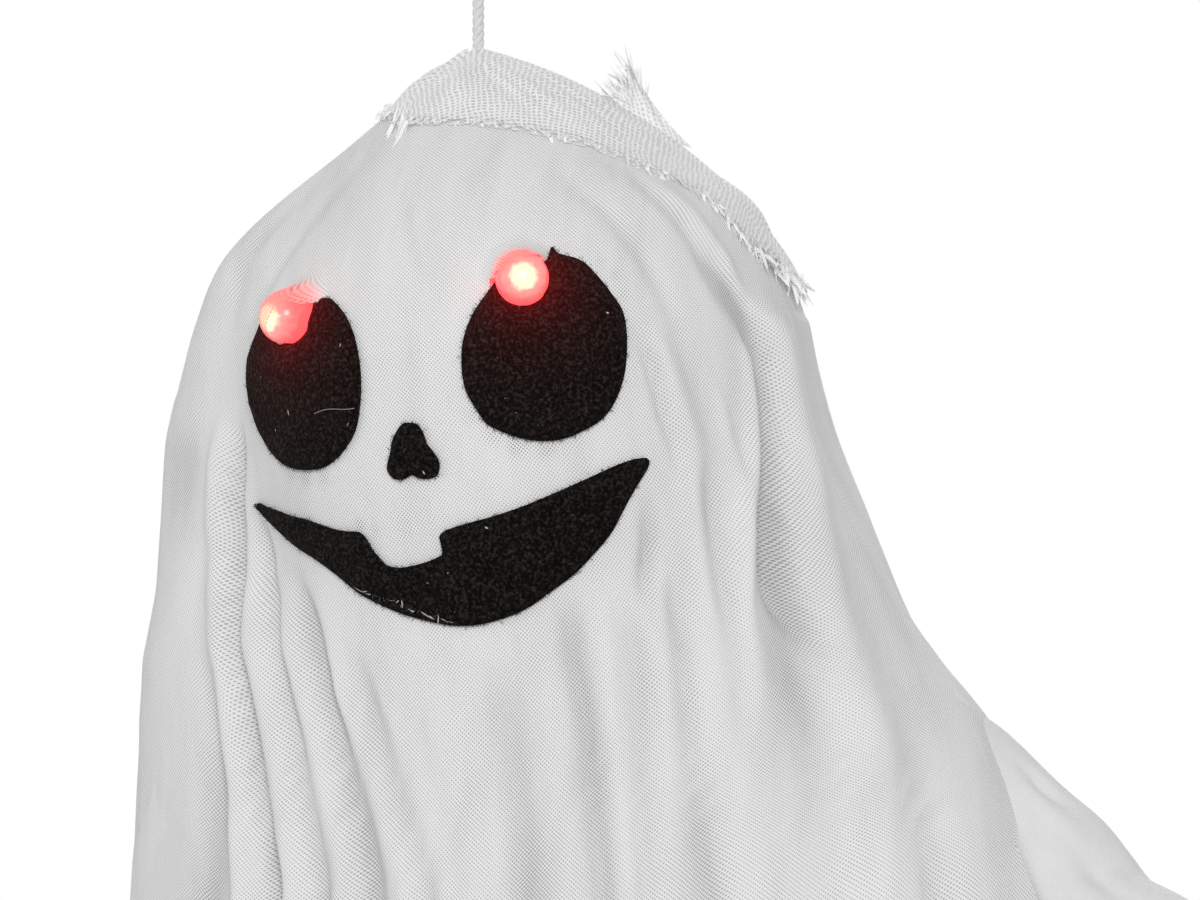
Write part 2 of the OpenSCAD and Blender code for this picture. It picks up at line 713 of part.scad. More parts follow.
module battery_tray() {
    back = cell_y - cell_d / 2 - 0.3;
    color("dimgray") on_box() difference() {
        translate([-tray_half + 0.2, back - tray_wall, tray_low])
            cube([2 * tray_half - 0.4, in_y - 1.2 - back + tray_wall, tray_high - tray_low]);
        translate([-tray_half + tray_wall, back, tray_low + tray_wall])
            cube([2 * tray_half - 2 * tray_wall, box_dp, tray_high - tray_low - 2 * tray_wall]);
    }
}

module battery_contacts() {
    color("silver") on_box() for (k = [-1 : 1], end = [0, 1])
        translate([k * cell_pitch - 4, cell_y - 4,
            end == 0 ? tray_low + tray_wall : tray_high - tray_wall - contact_t])
            cube([8, 8, contact_t]);
}

module batteries() {
    color("black") on_box() for (k = [-1 : 1]) translate([k * cell_pitch, cell_y, cell_low])
        rotate([k == 0 ? 180 : 0, 0, 0]) translate([0, 0, k == 0 ? -cell_l : 0]) {
            cylinder(d = cell_d, h = cell_l - 1.2);
            translate([0, 0, cell_l - 1.3]) cylinder(d = 5.5, h = 1.3);
        }
}

module battery_door() {
    color("whitesmoke") on_box() difference() {
        union() {
            translate([-door_half, box_dp / 2 + 0.05, tray_low - 1])
                cube([2 * door_half, door_t, tray_high - tray_low + 2]);
            translate([-6, box_dp / 2 + 0.05, tray_high]) cube([12, door_t, 9]);
            translate([-tray_half + 0.4, box_dp / 2 - 1.6, tray_low + 0.4])
                cube([2 * tray_half - 0.8, 1.7, tray_high - tray_low - 0.8]);
        }
        along_y(0, door_screw_z, screw_d, in_y - 5, box_dp);
    }
}

module door_screw() {
    color("silver") on_box() {
        along_y(0, door_screw_z, screw_d - 0.1, in_y - 3, box_dp / 2 + door_t + 0.1);
        along_y(0, door_screw_z, 6, box_dp / 2 + door_t + 0.06, box_dp / 2 + door_t + 1.6);
    }
}

module circuit_board() {
    color("darkgreen") on_box() difference() {
        translate([-board_w / 2, board_y, board_z - board_h / 2]) cube([board_w, board_t, board_h]);
        for (p = board_screw_at) along_y(p.x, p.y, 2.6, board_y - 1, board_y + 3);
    }
}

module board_parts() {
    face = board_y + board_t;
    color("black") on_box() {
        translate([-7, face, board_z - 6]) cube([14, 2.2, 9]);
        translate([-4.8, face, board_z + 9.8]) cube([9.6, 5, 5]);
        for (x = [-15, 13]) along_y(x, board_z - 8, 5, face, face + 6);
        translate([11, face, board_z + 2]) cube([5, 1.6, 3]);
    }
}

module board_screws() {
    color("silver") on_box() for (p = board_screw_at) {
        along_y(p.x, p.y, 2, board_y - 4, board_y + board_t + 0.1);
        along_y(p.x, p.y, 4.6, board_y + board_t + 0.02, board_y + board_t + 1.5);
    }
}

module speaker_frame() {
    color("dimgray") on_box() translate([0, -in_y + 0.02, speaker_z]) rotate([-90, 0, 0]) difference() {
        union() {
            cylinder(r = speaker_r, h = 3);
            translate([0, 0, 3 - eps]) cylinder(r1 = speaker_r - 2, r2 = 9, h = 6);
            translate([0, 0, 9 - 2 * eps]) cylinder(r = 9, h = 4);
        }
        translate([0, 0, -eps]) cylinder(r = speaker_r - 2, h = 2);
        translate([0, 0, 2 - 2 * eps]) cylinder(r1 = speaker_r - 3, r2 = 6, h = 6);
    }
}

module speaker_cone() {
    color("black") on_box() translate([0, -in_y + 0.02, speaker_z]) rotate([-90, 0, 0]) difference() {
        union() {
            translate([0, 0, 1]) cylinder(r = speaker_r - 2.2, h = 0.8);
            translate([0, 0, 1.7]) cylinder(r1 = speaker_r - 3.4, r2 = 7, h = 5);
        }
        translate([0, 0, 0.9]) cylinder(r1 = speaker_r - 3.8, r2 = 6.4, h = 5.1);
    }
}

module switch_body() {
    color("silver") on_box() translate([switch_at.x, switch_at.y, -box_h + box_wall]) difference() {
        translate([-9, -4, 0.05]) cube([18, 8, 6]);
        translate([-(knob_w + switch_travel) / 2 - 0.4, -2.3, -1])
            cube([knob_w + switch_travel + 0.8, 4.6, 4.4]);
    }
}

// Slide knob at the OFF end of its slot
module switch_knob() {
    color("black") on_box() translate([switch_at.x - switch_travel / 2, switch_at.y, -box_h - 3.4])
        translate([-knob_w / 2, -2, 0]) cube([knob_w, 4, box_wall + 3.4 + 3.2]);
}

// Shoulders

lug_d = 11;
lug_reach = 28;
hub_d = 30;

module shoulder_hub() {
    color("gainsboro") difference() {
        union() {
            on_box() translate([0, 0, hub_lift]) {
                spur(hub_module, hub_teeth, gear_face, 0);
                translate([0, 0, gear_face - eps]) cylinder(d = hub_d, h = hub_h);
            }
            on_arms() translate([-lug_reach, 0, 0]) rotate([0, 90, 0]) cylinder(d = lug_d, h = 2 * lug_reach);
        }
        on_box() cylinder(d = neck_d + 2 * run_gap, h = 60);
        on_arms() for (s = [0, 180]) rotate([0, 0, s]) translate([13, 0, 0]) rotate([0, 90, 0])
            cylinder(d = wire_d + 2 * press_gap, h = lug_reach);
    }
}

hoop_z = -4;
hoop_bar = 3;
collar_z = hub_lift + gear_face + 0.1;
module skirt_hoop() {
    color("gainsboro") on_box() {
        difference() {
            union() {
                translate([0, 0, collar_z]) cylinder(d = hub_d + 8, h = hoop_bar);
                for (k = [0 : 3]) rotate([0, 0, 45 + 90 * k]) {
                    translate([hub_d / 2 + 1, -2, collar_z]) cube([hoop_r - hub_d / 2 - 1.1, 4, hoop_bar]);
                    translate([hoop_r - hoop_bar, -2, hoop_z])
                        cube([hoop_bar - 0.1, 4, collar_z + hoop_bar - hoop_z]);
                }
                translate([0, 0, hoop_z]) cylinder(r = hoop_r, h = hoop_bar);
            }
            translate([0, 0, collar_z - 1]) cylinder(d = hub_d + 2 * press_gap, h = 10);
            translate([0, 0, hoop_z - 1]) cylinder(r = hoop_r - hoop_bar, h = hoop_bar + 2);
        }
    }
}

// Bent wire: out to the elbow and down the forearm
module arm_wire(bend) {
    start = 14;
    translate([start, 0, 0]) rotate([0, 90, 0]) cylinder(d = wire_d, h = elbow_reach - start);
    translate([elbow_reach, 0, 0]) {
        sphere(d = wire_d);
        rotate([0, bend + 90, 0]) cylinder(d = wire_d, h = forearm);
    }
}

// Foam tubes pushed on the wire up to the bend and from the bend to the end
pad_start = lug_reach + 2;
pad_stop = 12;                               // bare wire on each side of the elbow
module arm_padding(bend) {
    bore_d = wire_d + 2 * press_gap;
    translate([pad_start, 0, 0]) rotate([0, 90, 0]) difference() {
        cylinder(d = pad_d, h = elbow_reach - pad_stop - pad_start);
        translate([0, 0, -1]) cylinder(d = bore_d, h = elbow_reach);
    }
    translate([elbow_reach, 0, 0]) rotate([0, bend + 90, 0]) difference() {
        union() {
            translate([0, 0, pad_stop]) cylinder(d = pad_d, h = forearm - pad_stop);
            translate([0, 0, forearm]) sphere(d = pad_d);
        }
        cylinder(d = bore_d, h = forearm + 0.3);
    }
}

// Sleeve: rings round the arm's line that hang lower and wider towards the cuff
sleeve_start = 62;
cuff_past = 16;
arm_length = elbow_reach - sleeve_start + forearm + cuff_past;
to_elbow = elbow_reach - sleeve_start;
function arm_turn(bend, s) = bend * smooth((s - to_elbow + 12) / 24);
function arm_line(bend, s) = [sleeve_start + min(s, to_elbow), 0, 0]
    + max(0, s - to_elbow) * [cos(bend), 0, -sin(bend)];
elbow_ring = 2;
function sleeve_at(i) = i <= elbow_ring ? to_elbow * i / elbow_ring
    : to_elbow + (arm_length - to_elbow) * (i - elbow_ring) / (sleeve_rings - elbow_ring);
function sleeve_net(bend, inward) = [for (i = [sleeve_rings : -1 : 0])
    let (share = sleeve_at(i) / arm_length, t = arm_turn(bend, sleeve_at(i)),
        mid = arm_line(bend, sleeve_at(i)), r = pad_d / 2 + 4.4 + 13.5 * pow(share, 1.6),
        sag = 0.97 * (r - cloth_t - 2.3 * share) - pad_d / 2 - 0.4)
    [for (j = [0 : sleeve_sides - 1]) let (a = 360 * j / sleeve_sides,
            rr = r - inward + 1.5 * share * cos(5 * a) - 0.8 * share * cos(540 * share))
        mid + [(rr * sin(a) - sag) * sin(t), rr * cos(a), (rr * sin(a) - sag) * cos(t)]]];
module sleeve(bend) {
    cloth(sleeve_net(bend, 0), sleeve_net(bend, cloth_t), closed = true);
}

module arm_wire_left() { color("dimgray") on_arms() arm_wire(left_bend); }
module arm_wire_right() { color("dimgray") on_arms() mirror([1, 0, 0]) arm_wire(right_bend); }
module arm_padding_left() { color("white") on_arms() arm_padding(left_bend); }
module arm_padding_right() { color("white") on_arms() mirror([1, 0, 0]) arm_padding(right_bend); }
module sleeve_left() { color("white") on_arms() sleeve(left_bend); }
module sleeve_right() { color("white") on_arms() mirror([1, 0, 0]) sleeve(right_bend); }

// Skirt: four sewn panels that hang from the hoop

skirt_top = box_top + hoop_z + hoop_bar + 1;
seam_half = 44.85;
// A shorter skirt is cut less full, so that it stays inside the veil
skirt_full = min(1, (skirt_drop + skirt_top) / 685);
function skirt_radius(phi, w) = hoop_r + air + cloth_t + skirt_full * ((hem_r - hoop_r) * pow(w, 1.1)
    + 13 * smooth(w * 1.2) * cos(skirt_folds * phi) + 5 * smooth(w) * cos(5 * phi));
function skirt_net(middle, inward) = [for (i = [0 : skirt_rows]) let (w = pow(i / skirt_rows, 1.2))
    [for (j = [0 : skirt_cols]) let (phi = middle + seam_half * (2 * j / skirt_cols - 1),
            r = skirt_radius(phi, w) - inward)
        [neck_x + r * cos(phi), r * sin(phi), skirt_top - (skirt_drop + skirt_top) * w]]];
module skirt_panel(middle) {
    color("white") cloth(skirt_net(middle, 0), skirt_net(middle, cloth_t));
}
module skirt_front() { skirt_panel(-90); }
module skirt_left() { skirt_panel(0); }
module skirt_back() { skirt_panel(90); }
module skirt_right() { skirt_panel(180); }

hang_cord();
hang_knot();
stop_knot();
stop_washer();
head_front_shell();
head_rear_shell();
head_screws();
lamp_holder(1);  // lamp_holder_left
lamp_holder(-1);  // lamp_holder_right
eye_lamp(1);  // eye_lamp_left
eye_lamp(-1);  // eye_lamp_right
lamp_leads();
eye_patch(1);  // eye_patch_left
eye_patch(-1);  // eye_patch_right
nose_patch();
mouth_patch();
veil_front();
veil_back();
crown_wrap();
neck_tube();
box_front();
box_back();
box_screws();
thrust_washer();
gear_plate();
motor();
motor_shaft();
motor_pinion();
idler_pin();
idler_gear();
output_shaft();
output_gear();
output_pinion();
battery_tray();
battery_contacts();
batteries();
battery_door();
door_screw();
circuit_board();
board_parts();
board_screws();
speaker_frame();
speaker_cone();
switch_body();
switch_knob();
shoulder_hub();
skirt_hoop();
arm_wire_left();
arm_wire_right();
arm_padding_left();
arm_padding_right();
sleeve_left();
sleeve_right();
skirt_front();
skirt_left();
skirt_back();
skirt_right();
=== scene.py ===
"""Hanging ghost with a turning body: looks and soft pieces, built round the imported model."""
import json
import math
import bmesh
import bpy
import numpy as np
from mathutils import Matrix, Vector
from mathutils.bvhtree import BVHTree
from mathutils.geometry import delaunay_2d_cdt


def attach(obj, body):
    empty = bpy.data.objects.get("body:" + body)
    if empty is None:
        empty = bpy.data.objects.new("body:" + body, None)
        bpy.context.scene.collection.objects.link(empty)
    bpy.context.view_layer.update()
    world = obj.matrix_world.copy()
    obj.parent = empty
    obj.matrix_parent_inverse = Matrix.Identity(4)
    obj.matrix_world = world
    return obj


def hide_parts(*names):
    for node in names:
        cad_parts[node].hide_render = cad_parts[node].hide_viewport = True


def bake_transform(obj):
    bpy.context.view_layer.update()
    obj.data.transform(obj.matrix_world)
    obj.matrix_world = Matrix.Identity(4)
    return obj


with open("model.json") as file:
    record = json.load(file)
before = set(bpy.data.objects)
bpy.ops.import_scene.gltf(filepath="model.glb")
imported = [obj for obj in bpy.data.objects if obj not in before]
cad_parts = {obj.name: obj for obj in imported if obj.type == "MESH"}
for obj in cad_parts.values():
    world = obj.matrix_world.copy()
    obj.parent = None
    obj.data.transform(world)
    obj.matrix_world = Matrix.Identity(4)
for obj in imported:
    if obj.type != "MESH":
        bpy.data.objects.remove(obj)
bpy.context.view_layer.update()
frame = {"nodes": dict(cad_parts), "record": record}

# Sizes that repeat the part's source, in millimetres and degrees
MM = 0.001
LEAN = math.radians(8)
CROWN_DROP = 63.0
HEAD_R, HEAD_UP, HEAD_DOWN = 56.0, 57.0, 70.0
CROWN_POWER, JAW_POWER = 1.55, 3.2
LAMP_ANGLE, LAMP_UP, LAMP_R = 25.0, 11.0, 5.0
LAMP_OUT = 58.15
NECK_X, BOX_TOP = 17.675, -219.92
ARM_Z, ELBOW_REACH, FOREARM = BOX_TOP + 21.0, 76.0, 120.0
LEFT_BEND, RIGHT_BEND = 52.0, 60.0
VEIL_OFF, FELT_T, WRAP_OFF = 1.9, 1.2, 3.0
VEIL_HEM = 470.0
SKIRT_TOP, SKIRT_HEM = -219.9, -905.0
SEED = 7


# Plain helpers

def smooth(t):
    t = np.clip(t, 0.0, 1.0)
    return t * t * (3 - 2 * t)


def eased(value, amount, start, span):
    """An amount that comes in smoothly from a start, over a span."""
    return amount * smooth((value - start) / span)


def head_radius(z, grow=0.0):
    """Half width of the head at a height below its crown."""
    h = np.asarray(z, float) + HEAD_UP
    top = 1 - np.clip(np.abs(h) / (HEAD_UP + grow), 0, 1) ** CROWN_POWER
    jaw = 1 - np.clip(np.abs(h) / (HEAD_DOWN + grow), 0, 1) ** JAW_POWER
    return (HEAD_R + grow) * np.where(h > 0, top ** (1 / CROWN_POWER), jaw ** (1 / JAW_POWER))


def leaned(x, y, z):
    """Head frame to the shared frame."""
    c, s = math.cos(LEAN), math.sin(LEAN)
    return np.stack([x * c - z * s, y + 0 * x, x * s + z * c - CROWN_DROP], axis=-1)


def head_frame(points):
    """Shared frame to the head's: across, back and up from its crown."""
    c, s = math.cos(LEAN), math.sin(LEAN)
    x, y, z = points[..., 0], points[..., 1], points[..., 2] + CROWN_DROP
    return x * c + z * s, y, z * c - x * s


HEAD_MID = leaned(0.0, 0.0, -HEAD_UP)


def on_arms(x, z, side):
    """Arm frame to the shared frame: x runs out along the arm, side is 1 for the left arm."""
    c, s = math.cos(LEAN), math.sin(LEAN)
    return np.stack([NECK_X + side * x * c - z * s, 0 * x, side * x * s + z * c + ARM_Z], axis=-1)


def grid_faces(rows, cols, closed=False):
    """Quads of a grid whose rows run down and columns run anticlockwise, facing outwards."""
    last = cols if closed else cols - 1
    return [(i * cols + j, (i + 1) * cols + j, (i + 1) * cols + (j + 1) % cols, i * cols + (j + 1) % cols)
            for i in range(rows - 1) for j in range(last)]


def add_mesh(name, points, faces, uv=None):
    """A smooth-shaded mesh object from points in millimetres and one UV per vertex."""
    mesh = bpy.data.meshes.new(name)
    points = np.asarray(points, float).reshape(-1, 3)
    mesh.from_pydata((points * MM).tolist(), [], [tuple(int(k) for k in f) for f in faces])
    if uv is not None:
        put_uv(mesh, np.asarray(uv, float).reshape(-1, 2)[loop_vertices(mesh)])
    mesh.polygons.foreach_set("use_smooth", [True] * len(mesh.polygons))
    mesh.update()
    obj = bpy.data.objects.new(name, mesh)
    bpy.context.scene.collection.objects.link(obj)
    return obj


def loop_vertices(mesh):
    index = np.zeros(len(mesh.loops), int)
    mesh.loops.foreach_get("vertex_index", index)
    return index


def put_uv(mesh, per_loop):
    layer = mesh.uv_layers.get("UVMap") or mesh.uv_layers.new(name="UVMap")
    layer.data.foreach_set("uv", np.asarray(per_loop, np.float32).ravel())


def points_of(obj):
    co = np.zeros(len(obj.data.vertices) * 3)
    obj.data.vertices.foreach_get("co", co)
    return co.reshape(-1, 3) / MM


def put_points(obj, points):
    obj.data.vertices.foreach_set("co", (np.asarray(points) * MM).astype(np.float32).ravel())
    obj.data.update()


def put_value(obj, name, values):
    """A number for each vertex, for the materials to read."""
    layer = obj.data.attributes.new(name, "FLOAT", "POINT")
    layer.data.foreach_set("value", np.asarray(values, np.float32))


def settle(obj):
    """Turns live modifiers into plain mesh."""
    graph = bpy.context.evaluated_depsgraph_get()
    mesh = bpy.data.meshes.new_from_object(obj.evaluated_get(graph), depsgraph=graph)
    old = obj.data
    obj.modifiers.clear()
    obj.data = mesh
    bpy.data.meshes.remove(old)
    mesh.name = obj.name
    return obj


def finer(obj, levels=1):
    mod = obj.modifiers.new("finer", "SUBSURF")
    mod.levels = mod.render_levels = levels
    mod.boundary_smooth = "PRESERVE_CORNERS"
    return settle(obj)


def dress(obj, material):
    obj.data.materials.clear()
    obj.data.materials.append(material)
    return obj


def carry(body, slot, *pieces):
    """Gives each piece its body; the slot argument is not used."""
    for piece in pieces:
        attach(piece, body)


def closed_grid(rows, cols, start, stop):
    """Shares down a closed grid and the turn round it, one of each per point."""
    share = np.linspace(0, 1, rows)[:, None] + np.zeros((1, cols))
    turn = np.linspace(start, stop, cols, endpoint=False)[None, :] + np.zeros((rows, 1))
    return share, turn


def ridges(rng, span, low, high):
    """Pleat profile round a full turn: uneven ridges and grooves, from -1 to 1, by degrees."""
    knots, heights, at, sign = [], [], 0.0, 1
    while at < span:
        knots.append(at)
        heights.append(sign * rng.uniform(0.35, 1.0))
        at, sign = at + rng.uniform(low, high), -sign
    knots = np.array(knots + [span])
    heights = np.array(heights + [heights[0]])

    def profile(angle):
        t = np.mod(angle, span)
        k = np.clip(np.searchsorted(knots, t, side="right") - 1, 0, len(knots) - 2)
        share = smooth((t - knots[k]) / (knots[k + 1] - knots[k]))
        return heights[k] + (heights[k + 1] - heights[k]) * share
    return profile


def wander(rng, scale, count=6):
    """A slow uneven function of two values, about -1 to 1."""
    waves = [(rng.uniform(-1, 1) / scale, rng.uniform(-1, 1) / scale, rng.uniform(0, 7)) for _ in range(count)]

    def value(a, b):
        return sum(np.sin(a * u + b * v + p) for u, v, p in waves) / math.sqrt(count)
    return value


# Camera, light and floor

# The view's turn in degrees, its distance, how far right and below the head's middle it aims, and the lens
VIEW_TURN, VIEW_FAR, VIEW_RIGHT, VIEW_BELOW, VIEW_LENS = 21.0, 950.0, 17.0, 18.0, 142.5
STUDIO_LEVEL = 0.465
LIGHT_AIM = (0.01, 0.0, -0.2)
# Lights: place, size and power
LIGHTS = {
    "key_light": ((0.66, -1.48, 0.35), 0.6, 13.2),
    "fill_light": ((-1.6, -0.8, 0.1), 1.2, 5.0),
    "back_light": ((-0.3, 1.7, 0.6), 1.0, 11.0),
}
FLOOR_Z, FLOOR_RINGS, FLOOR_SPOKES = -960.0, (150.0, 420.0), 96


def place_camera():
    """The photograph's view: level, from the ghost's left of its front, at five pixels to the millimetre."""
    turn = math.radians(VIEW_TURN)
    right = np.array([math.cos(turn), math.sin(turn), 0.0])
    back = np.array([math.sin(turn), -math.cos(turn), 0.0])
    target = HEAD_MID + VIEW_RIGHT * right - np.array([0, 0, VIEW_BELOW])
    data = bpy.data.cameras.new("camera")
    data.lens, data.sensor_width = VIEW_LENS, 36.0
    data.clip_start, data.clip_end = 0.05, 20.0
    camera = bpy.data.objects.new("camera", data)
    camera.location = Vector((target + VIEW_FAR * back) * MM)
    camera.rotation_euler = Vector(-back).to_track_quat("-Z", "Y").to_euler()
    bpy.context.scene.collection.objects.link(camera)
    bpy.context.scene.camera = camera


def area_light(name, place, size, power):
    data = bpy.data.lights.new(name, "AREA")
    data.shape, data.size, data.energy = "DISK", size, power
    lamp = bpy.data.objects.new(name, data)
    lamp.location = place
    lamp.rotation_euler = (Vector(LIGHT_AIM) - Vector(place)).to_track_quat("-Z", "Y").to_euler()
    bpy.context.scene.collection.objects.link(lamp)


def studio():
    """White surroundings, dimmer as a light than as they are seen, and soft lights."""
    scene = bpy.context.scene
    scene.view_settings.view_transform = "Standard"
    world = bpy.data.worlds.new("studio")
    scene.world = world
    world.use_nodes = True
    tree = world.node_tree
    tree.nodes.clear()
    path = tree.nodes.new("ShaderNodeLightPath")
    seen = add_math(tree, "MAXIMUM", path.outputs["Is Camera Ray"], path.outputs["Is Glossy Ray"])
    seen = add_math(tree, "MAXIMUM", seen, path.outputs["Is Transmission Ray"])
    level = tree.nodes.new("ShaderNodeMix")
    level.data_type = "FLOAT"
    feed(tree, level, Factor=seen, A=STUDIO_LEVEL, B=1.0)
    shade = tree.nodes.new("ShaderNodeBackground")
    feed(tree, shade, Color=(1, 1, 1), Strength=level.outputs["Result"])
    feed(tree, tree.nodes.new("ShaderNodeOutputWorld"), Surface=shade.outputs["Background"])
    for name, values in LIGHTS.items():
        area_light(name, *values)


def make_floor():
    points = [[NECK_X, 0, FLOOR_Z]]
    for r in FLOOR_RINGS:
        for k in range(FLOOR_SPOKES):
            a = 2 * math.pi * k / FLOOR_SPOKES
            points.append([NECK_X + r * math.cos(a), r * math.sin(a), FLOOR_Z])
    ring = [(1 + k, 1 + (k + 1) % FLOOR_SPOKES) for k in range(FLOOR_SPOKES)]
    faces = [(0, a, b) for a, b in ring] + [(a, FLOOR_SPOKES + a, FLOOR_SPOKES + b, b) for a, b in ring]
    floor = add_mesh("floor", points, faces)
    dress(floor, plain_finish("floor_paper", (0.86, 0.86, 0.86), 0.9, 0.02, 90.0))


# Shader helpers

def new_material(name):
    mat = bpy.data.materials.new(name)
    mat.use_nodes = True
    tree = mat.node_tree
    return mat, tree, tree.nodes["Principled BSDF"]


def plug(tree, socket, value):
    """Links a socket to another one, or sets it to a number or a colour."""
    if isinstance(value, bpy.types.NodeSocket):
        tree.links.new(value, socket)
    elif isinstance(value, tuple):
        socket.default_value = (*value, 1.0)
    else:
        socket.default_value = value


def feed(tree, node, **values):
    """Fills a node's sockets by name, with underscores for spaces."""
    for label, value in values.items():
        plug(tree, node.inputs[label.replace("_", " ")], value)


def add_math(tree, kind, *values):
    node = tree.nodes.new("ShaderNodeMath")
    node.operation = kind
    for socket, value in zip(node.inputs, values):
        plug(tree, socket, value)
    return node.outputs[0]


def add_range(tree, value, low, high, to_low=0.0, to_high=1.0, soft=True):
    node = tree.nodes.new("ShaderNodeMapRange")
    node.interpolation_type = "SMOOTHSTEP" if soft else "LINEAR"
    feed(tree, node, Value=value, From_Min=low, From_Max=high, To_Min=to_low, To_Max=to_high)
    return node.outputs["Result"]


def add_noise(tree, vector, scale, detail=3.0, rough=0.5):
    node = tree.nodes.new("ShaderNodeTexNoise")
    feed(tree, node, Vector=vector, Scale=scale, Detail=detail, Roughness=rough)
    return node.outputs["Fac"]


def add_mix(tree, factor, a, b):
    """Colour mix; a and b are colours or sockets."""
    node = tree.nodes.new("ShaderNodeMix")
    node.data_type = "RGBA"
    for socket, value in ((node.inputs["Factor"], factor), (node.inputs[6], a), (node.inputs[7], b)):
        plug(tree, socket, value)
    return node.outputs[2]


def add_bump(tree, height, strength, distance):
    node = tree.nodes.new("ShaderNodeBump")
    feed(tree, node, Strength=strength, Distance=distance, Height=height)
    return node.outputs["Normal"]


def split_axes(tree, vector):
    node = tree.nodes.new("ShaderNodeSeparateXYZ")
    tree.links.new(vector, node.inputs[0])
    return node.outputs


def shaded(color, share):
    """A colour at a share of its brightness."""
    return tuple(c * share for c in color)


def new_group(name, inputs, outputs):
    """A shader node group with named number, vector or colour sockets."""
    group = bpy.data.node_groups.new(name, "ShaderNodeTree")
    kinds = {"f": "NodeSocketFloat", "v": "NodeSocketVector", "c": "NodeSocketColor"}
    for label, kind, value in inputs:
        socket = group.interface.new_socket(label, in_out="INPUT", socket_type=kinds[kind])
        if value is not None:
            socket.default_value = value
    for label, kind in outputs:
        group.interface.new_socket(label, in_out="OUTPUT", socket_type=kinds[kind])
    return group, group.nodes.new("NodeGroupInput").outputs, group.nodes.new("NodeGroupOutput").inputs


def use_group(tree, group, **values):
    node = tree.nodes.new("ShaderNodeGroup")
    node.node_tree = group
    feed(tree, node, **values)
    return node.outputs


def coordinates(tree, kind="Object"):
    return tree.nodes.new("ShaderNodeTexCoord").outputs[kind]


def read_value(tree, name):
    node = tree.nodes.new("ShaderNodeAttribute")
    node.attribute_name = name
    return node.outputs["Fac"]


def grain_group():
    """Fine moulding grain with faint handling marks: a tone, a roughness change and a height."""
    group, given, out = new_group(
        "surface_grain", [("Vector", "v", None), ("Grain", "f", 900.0), ("Marks", "f", 60.0)],
        [("Tone", "f"), ("Rough", "f"), ("Height", "f")])
    fine = add_noise(group, given["Vector"], given["Grain"], 4.0, 0.6)
    slow = add_noise(group, given["Vector"], given["Marks"], 5.0, 0.65)
    group.links.new(add_range(group, slow, 0.3, 0.7), out["Tone"])
    group.links.new(add_math(group, "MULTIPLY_ADD", fine, 0.5, add_math(group, "MULTIPLY", slow, 0.5)), out["Rough"])
    group.links.new(fine, out["Height"])
    return group


def gauze_group():
    """Knitted gauze: staggered pores with uneven openness, and the rounded yarn between them."""
    group, given, out = new_group(
        "gauze_knit", [("Vector", "v", None), ("Across", "f", 0.00076), ("Along", "f", 0.0008), ("Open", "f", 0.35)],
        [("Pore", "f"), ("Height", "f"), ("Patch", "f")])
    drift = add_noise(group, given["Vector"], 160.0, 2.0)
    place = split_axes(group, given["Vector"])
    waves = []
    for axis, pitch in ((0, "Across"), (1, "Along")):
        turns = add_math(group, "DIVIDE", place[axis], given[pitch])
        turns = add_math(group, "ADD", turns, add_math(group, "MULTIPLY", drift, 1.1))
        waves.append(add_math(group, "COSINE", add_math(group, "MULTIPLY", turns, 2 * math.pi)))
    lattice = add_math(group, "MULTIPLY", *waves)
    drawn = group.nodes.new("ShaderNodeCombineXYZ")
    feed(group, drawn, X=place[0], Y=add_math(group, "MULTIPLY", place[1], 0.22))
    patch = add_noise(group, drawn.outputs[0], 75.0, 3.0, 0.6)
    edge = add_range(group, patch, 0.25, 0.75, 0.34, -0.22)
    edge = add_math(group, "SUBTRACT", edge, add_math(group, "SUBTRACT", given["Open"], 0.35))
    pore = add_range(group, lattice, edge, add_math(group, "ADD", edge, 0.5))
    group.links.new(pore, out["Pore"])
    group.links.new(add_math(group, "MULTIPLY", lattice, -0.5), out["Height"])
    group.links.new(patch, out["Patch"])
    return group


GRAIN = grain_group()
GAUZE = gauze_group()


def plain_finish(name, color, rough, vary=0.08, marks=60.0, metallic=0.0, bump=0.06, grain=900.0):
    """Moulded, turned or plated finish: tone and gloss vary slightly over the surface."""
    mat, tree, shader = new_material(name)
    found = use_group(tree, GRAIN, Vector=coordinates(tree), Grain=grain, Marks=marks)
    feed(tree, shader, Base_Color=add_mix(tree, found["Tone"], shaded(color, 1 - vary), color),
         Roughness=add_range(tree, found["Rough"], 0.2, 0.8, rough - 0.08, rough + 0.08),
         Normal=add_bump(tree, found["Height"], bump, 0.0003), Metallic=metallic)
    return mat


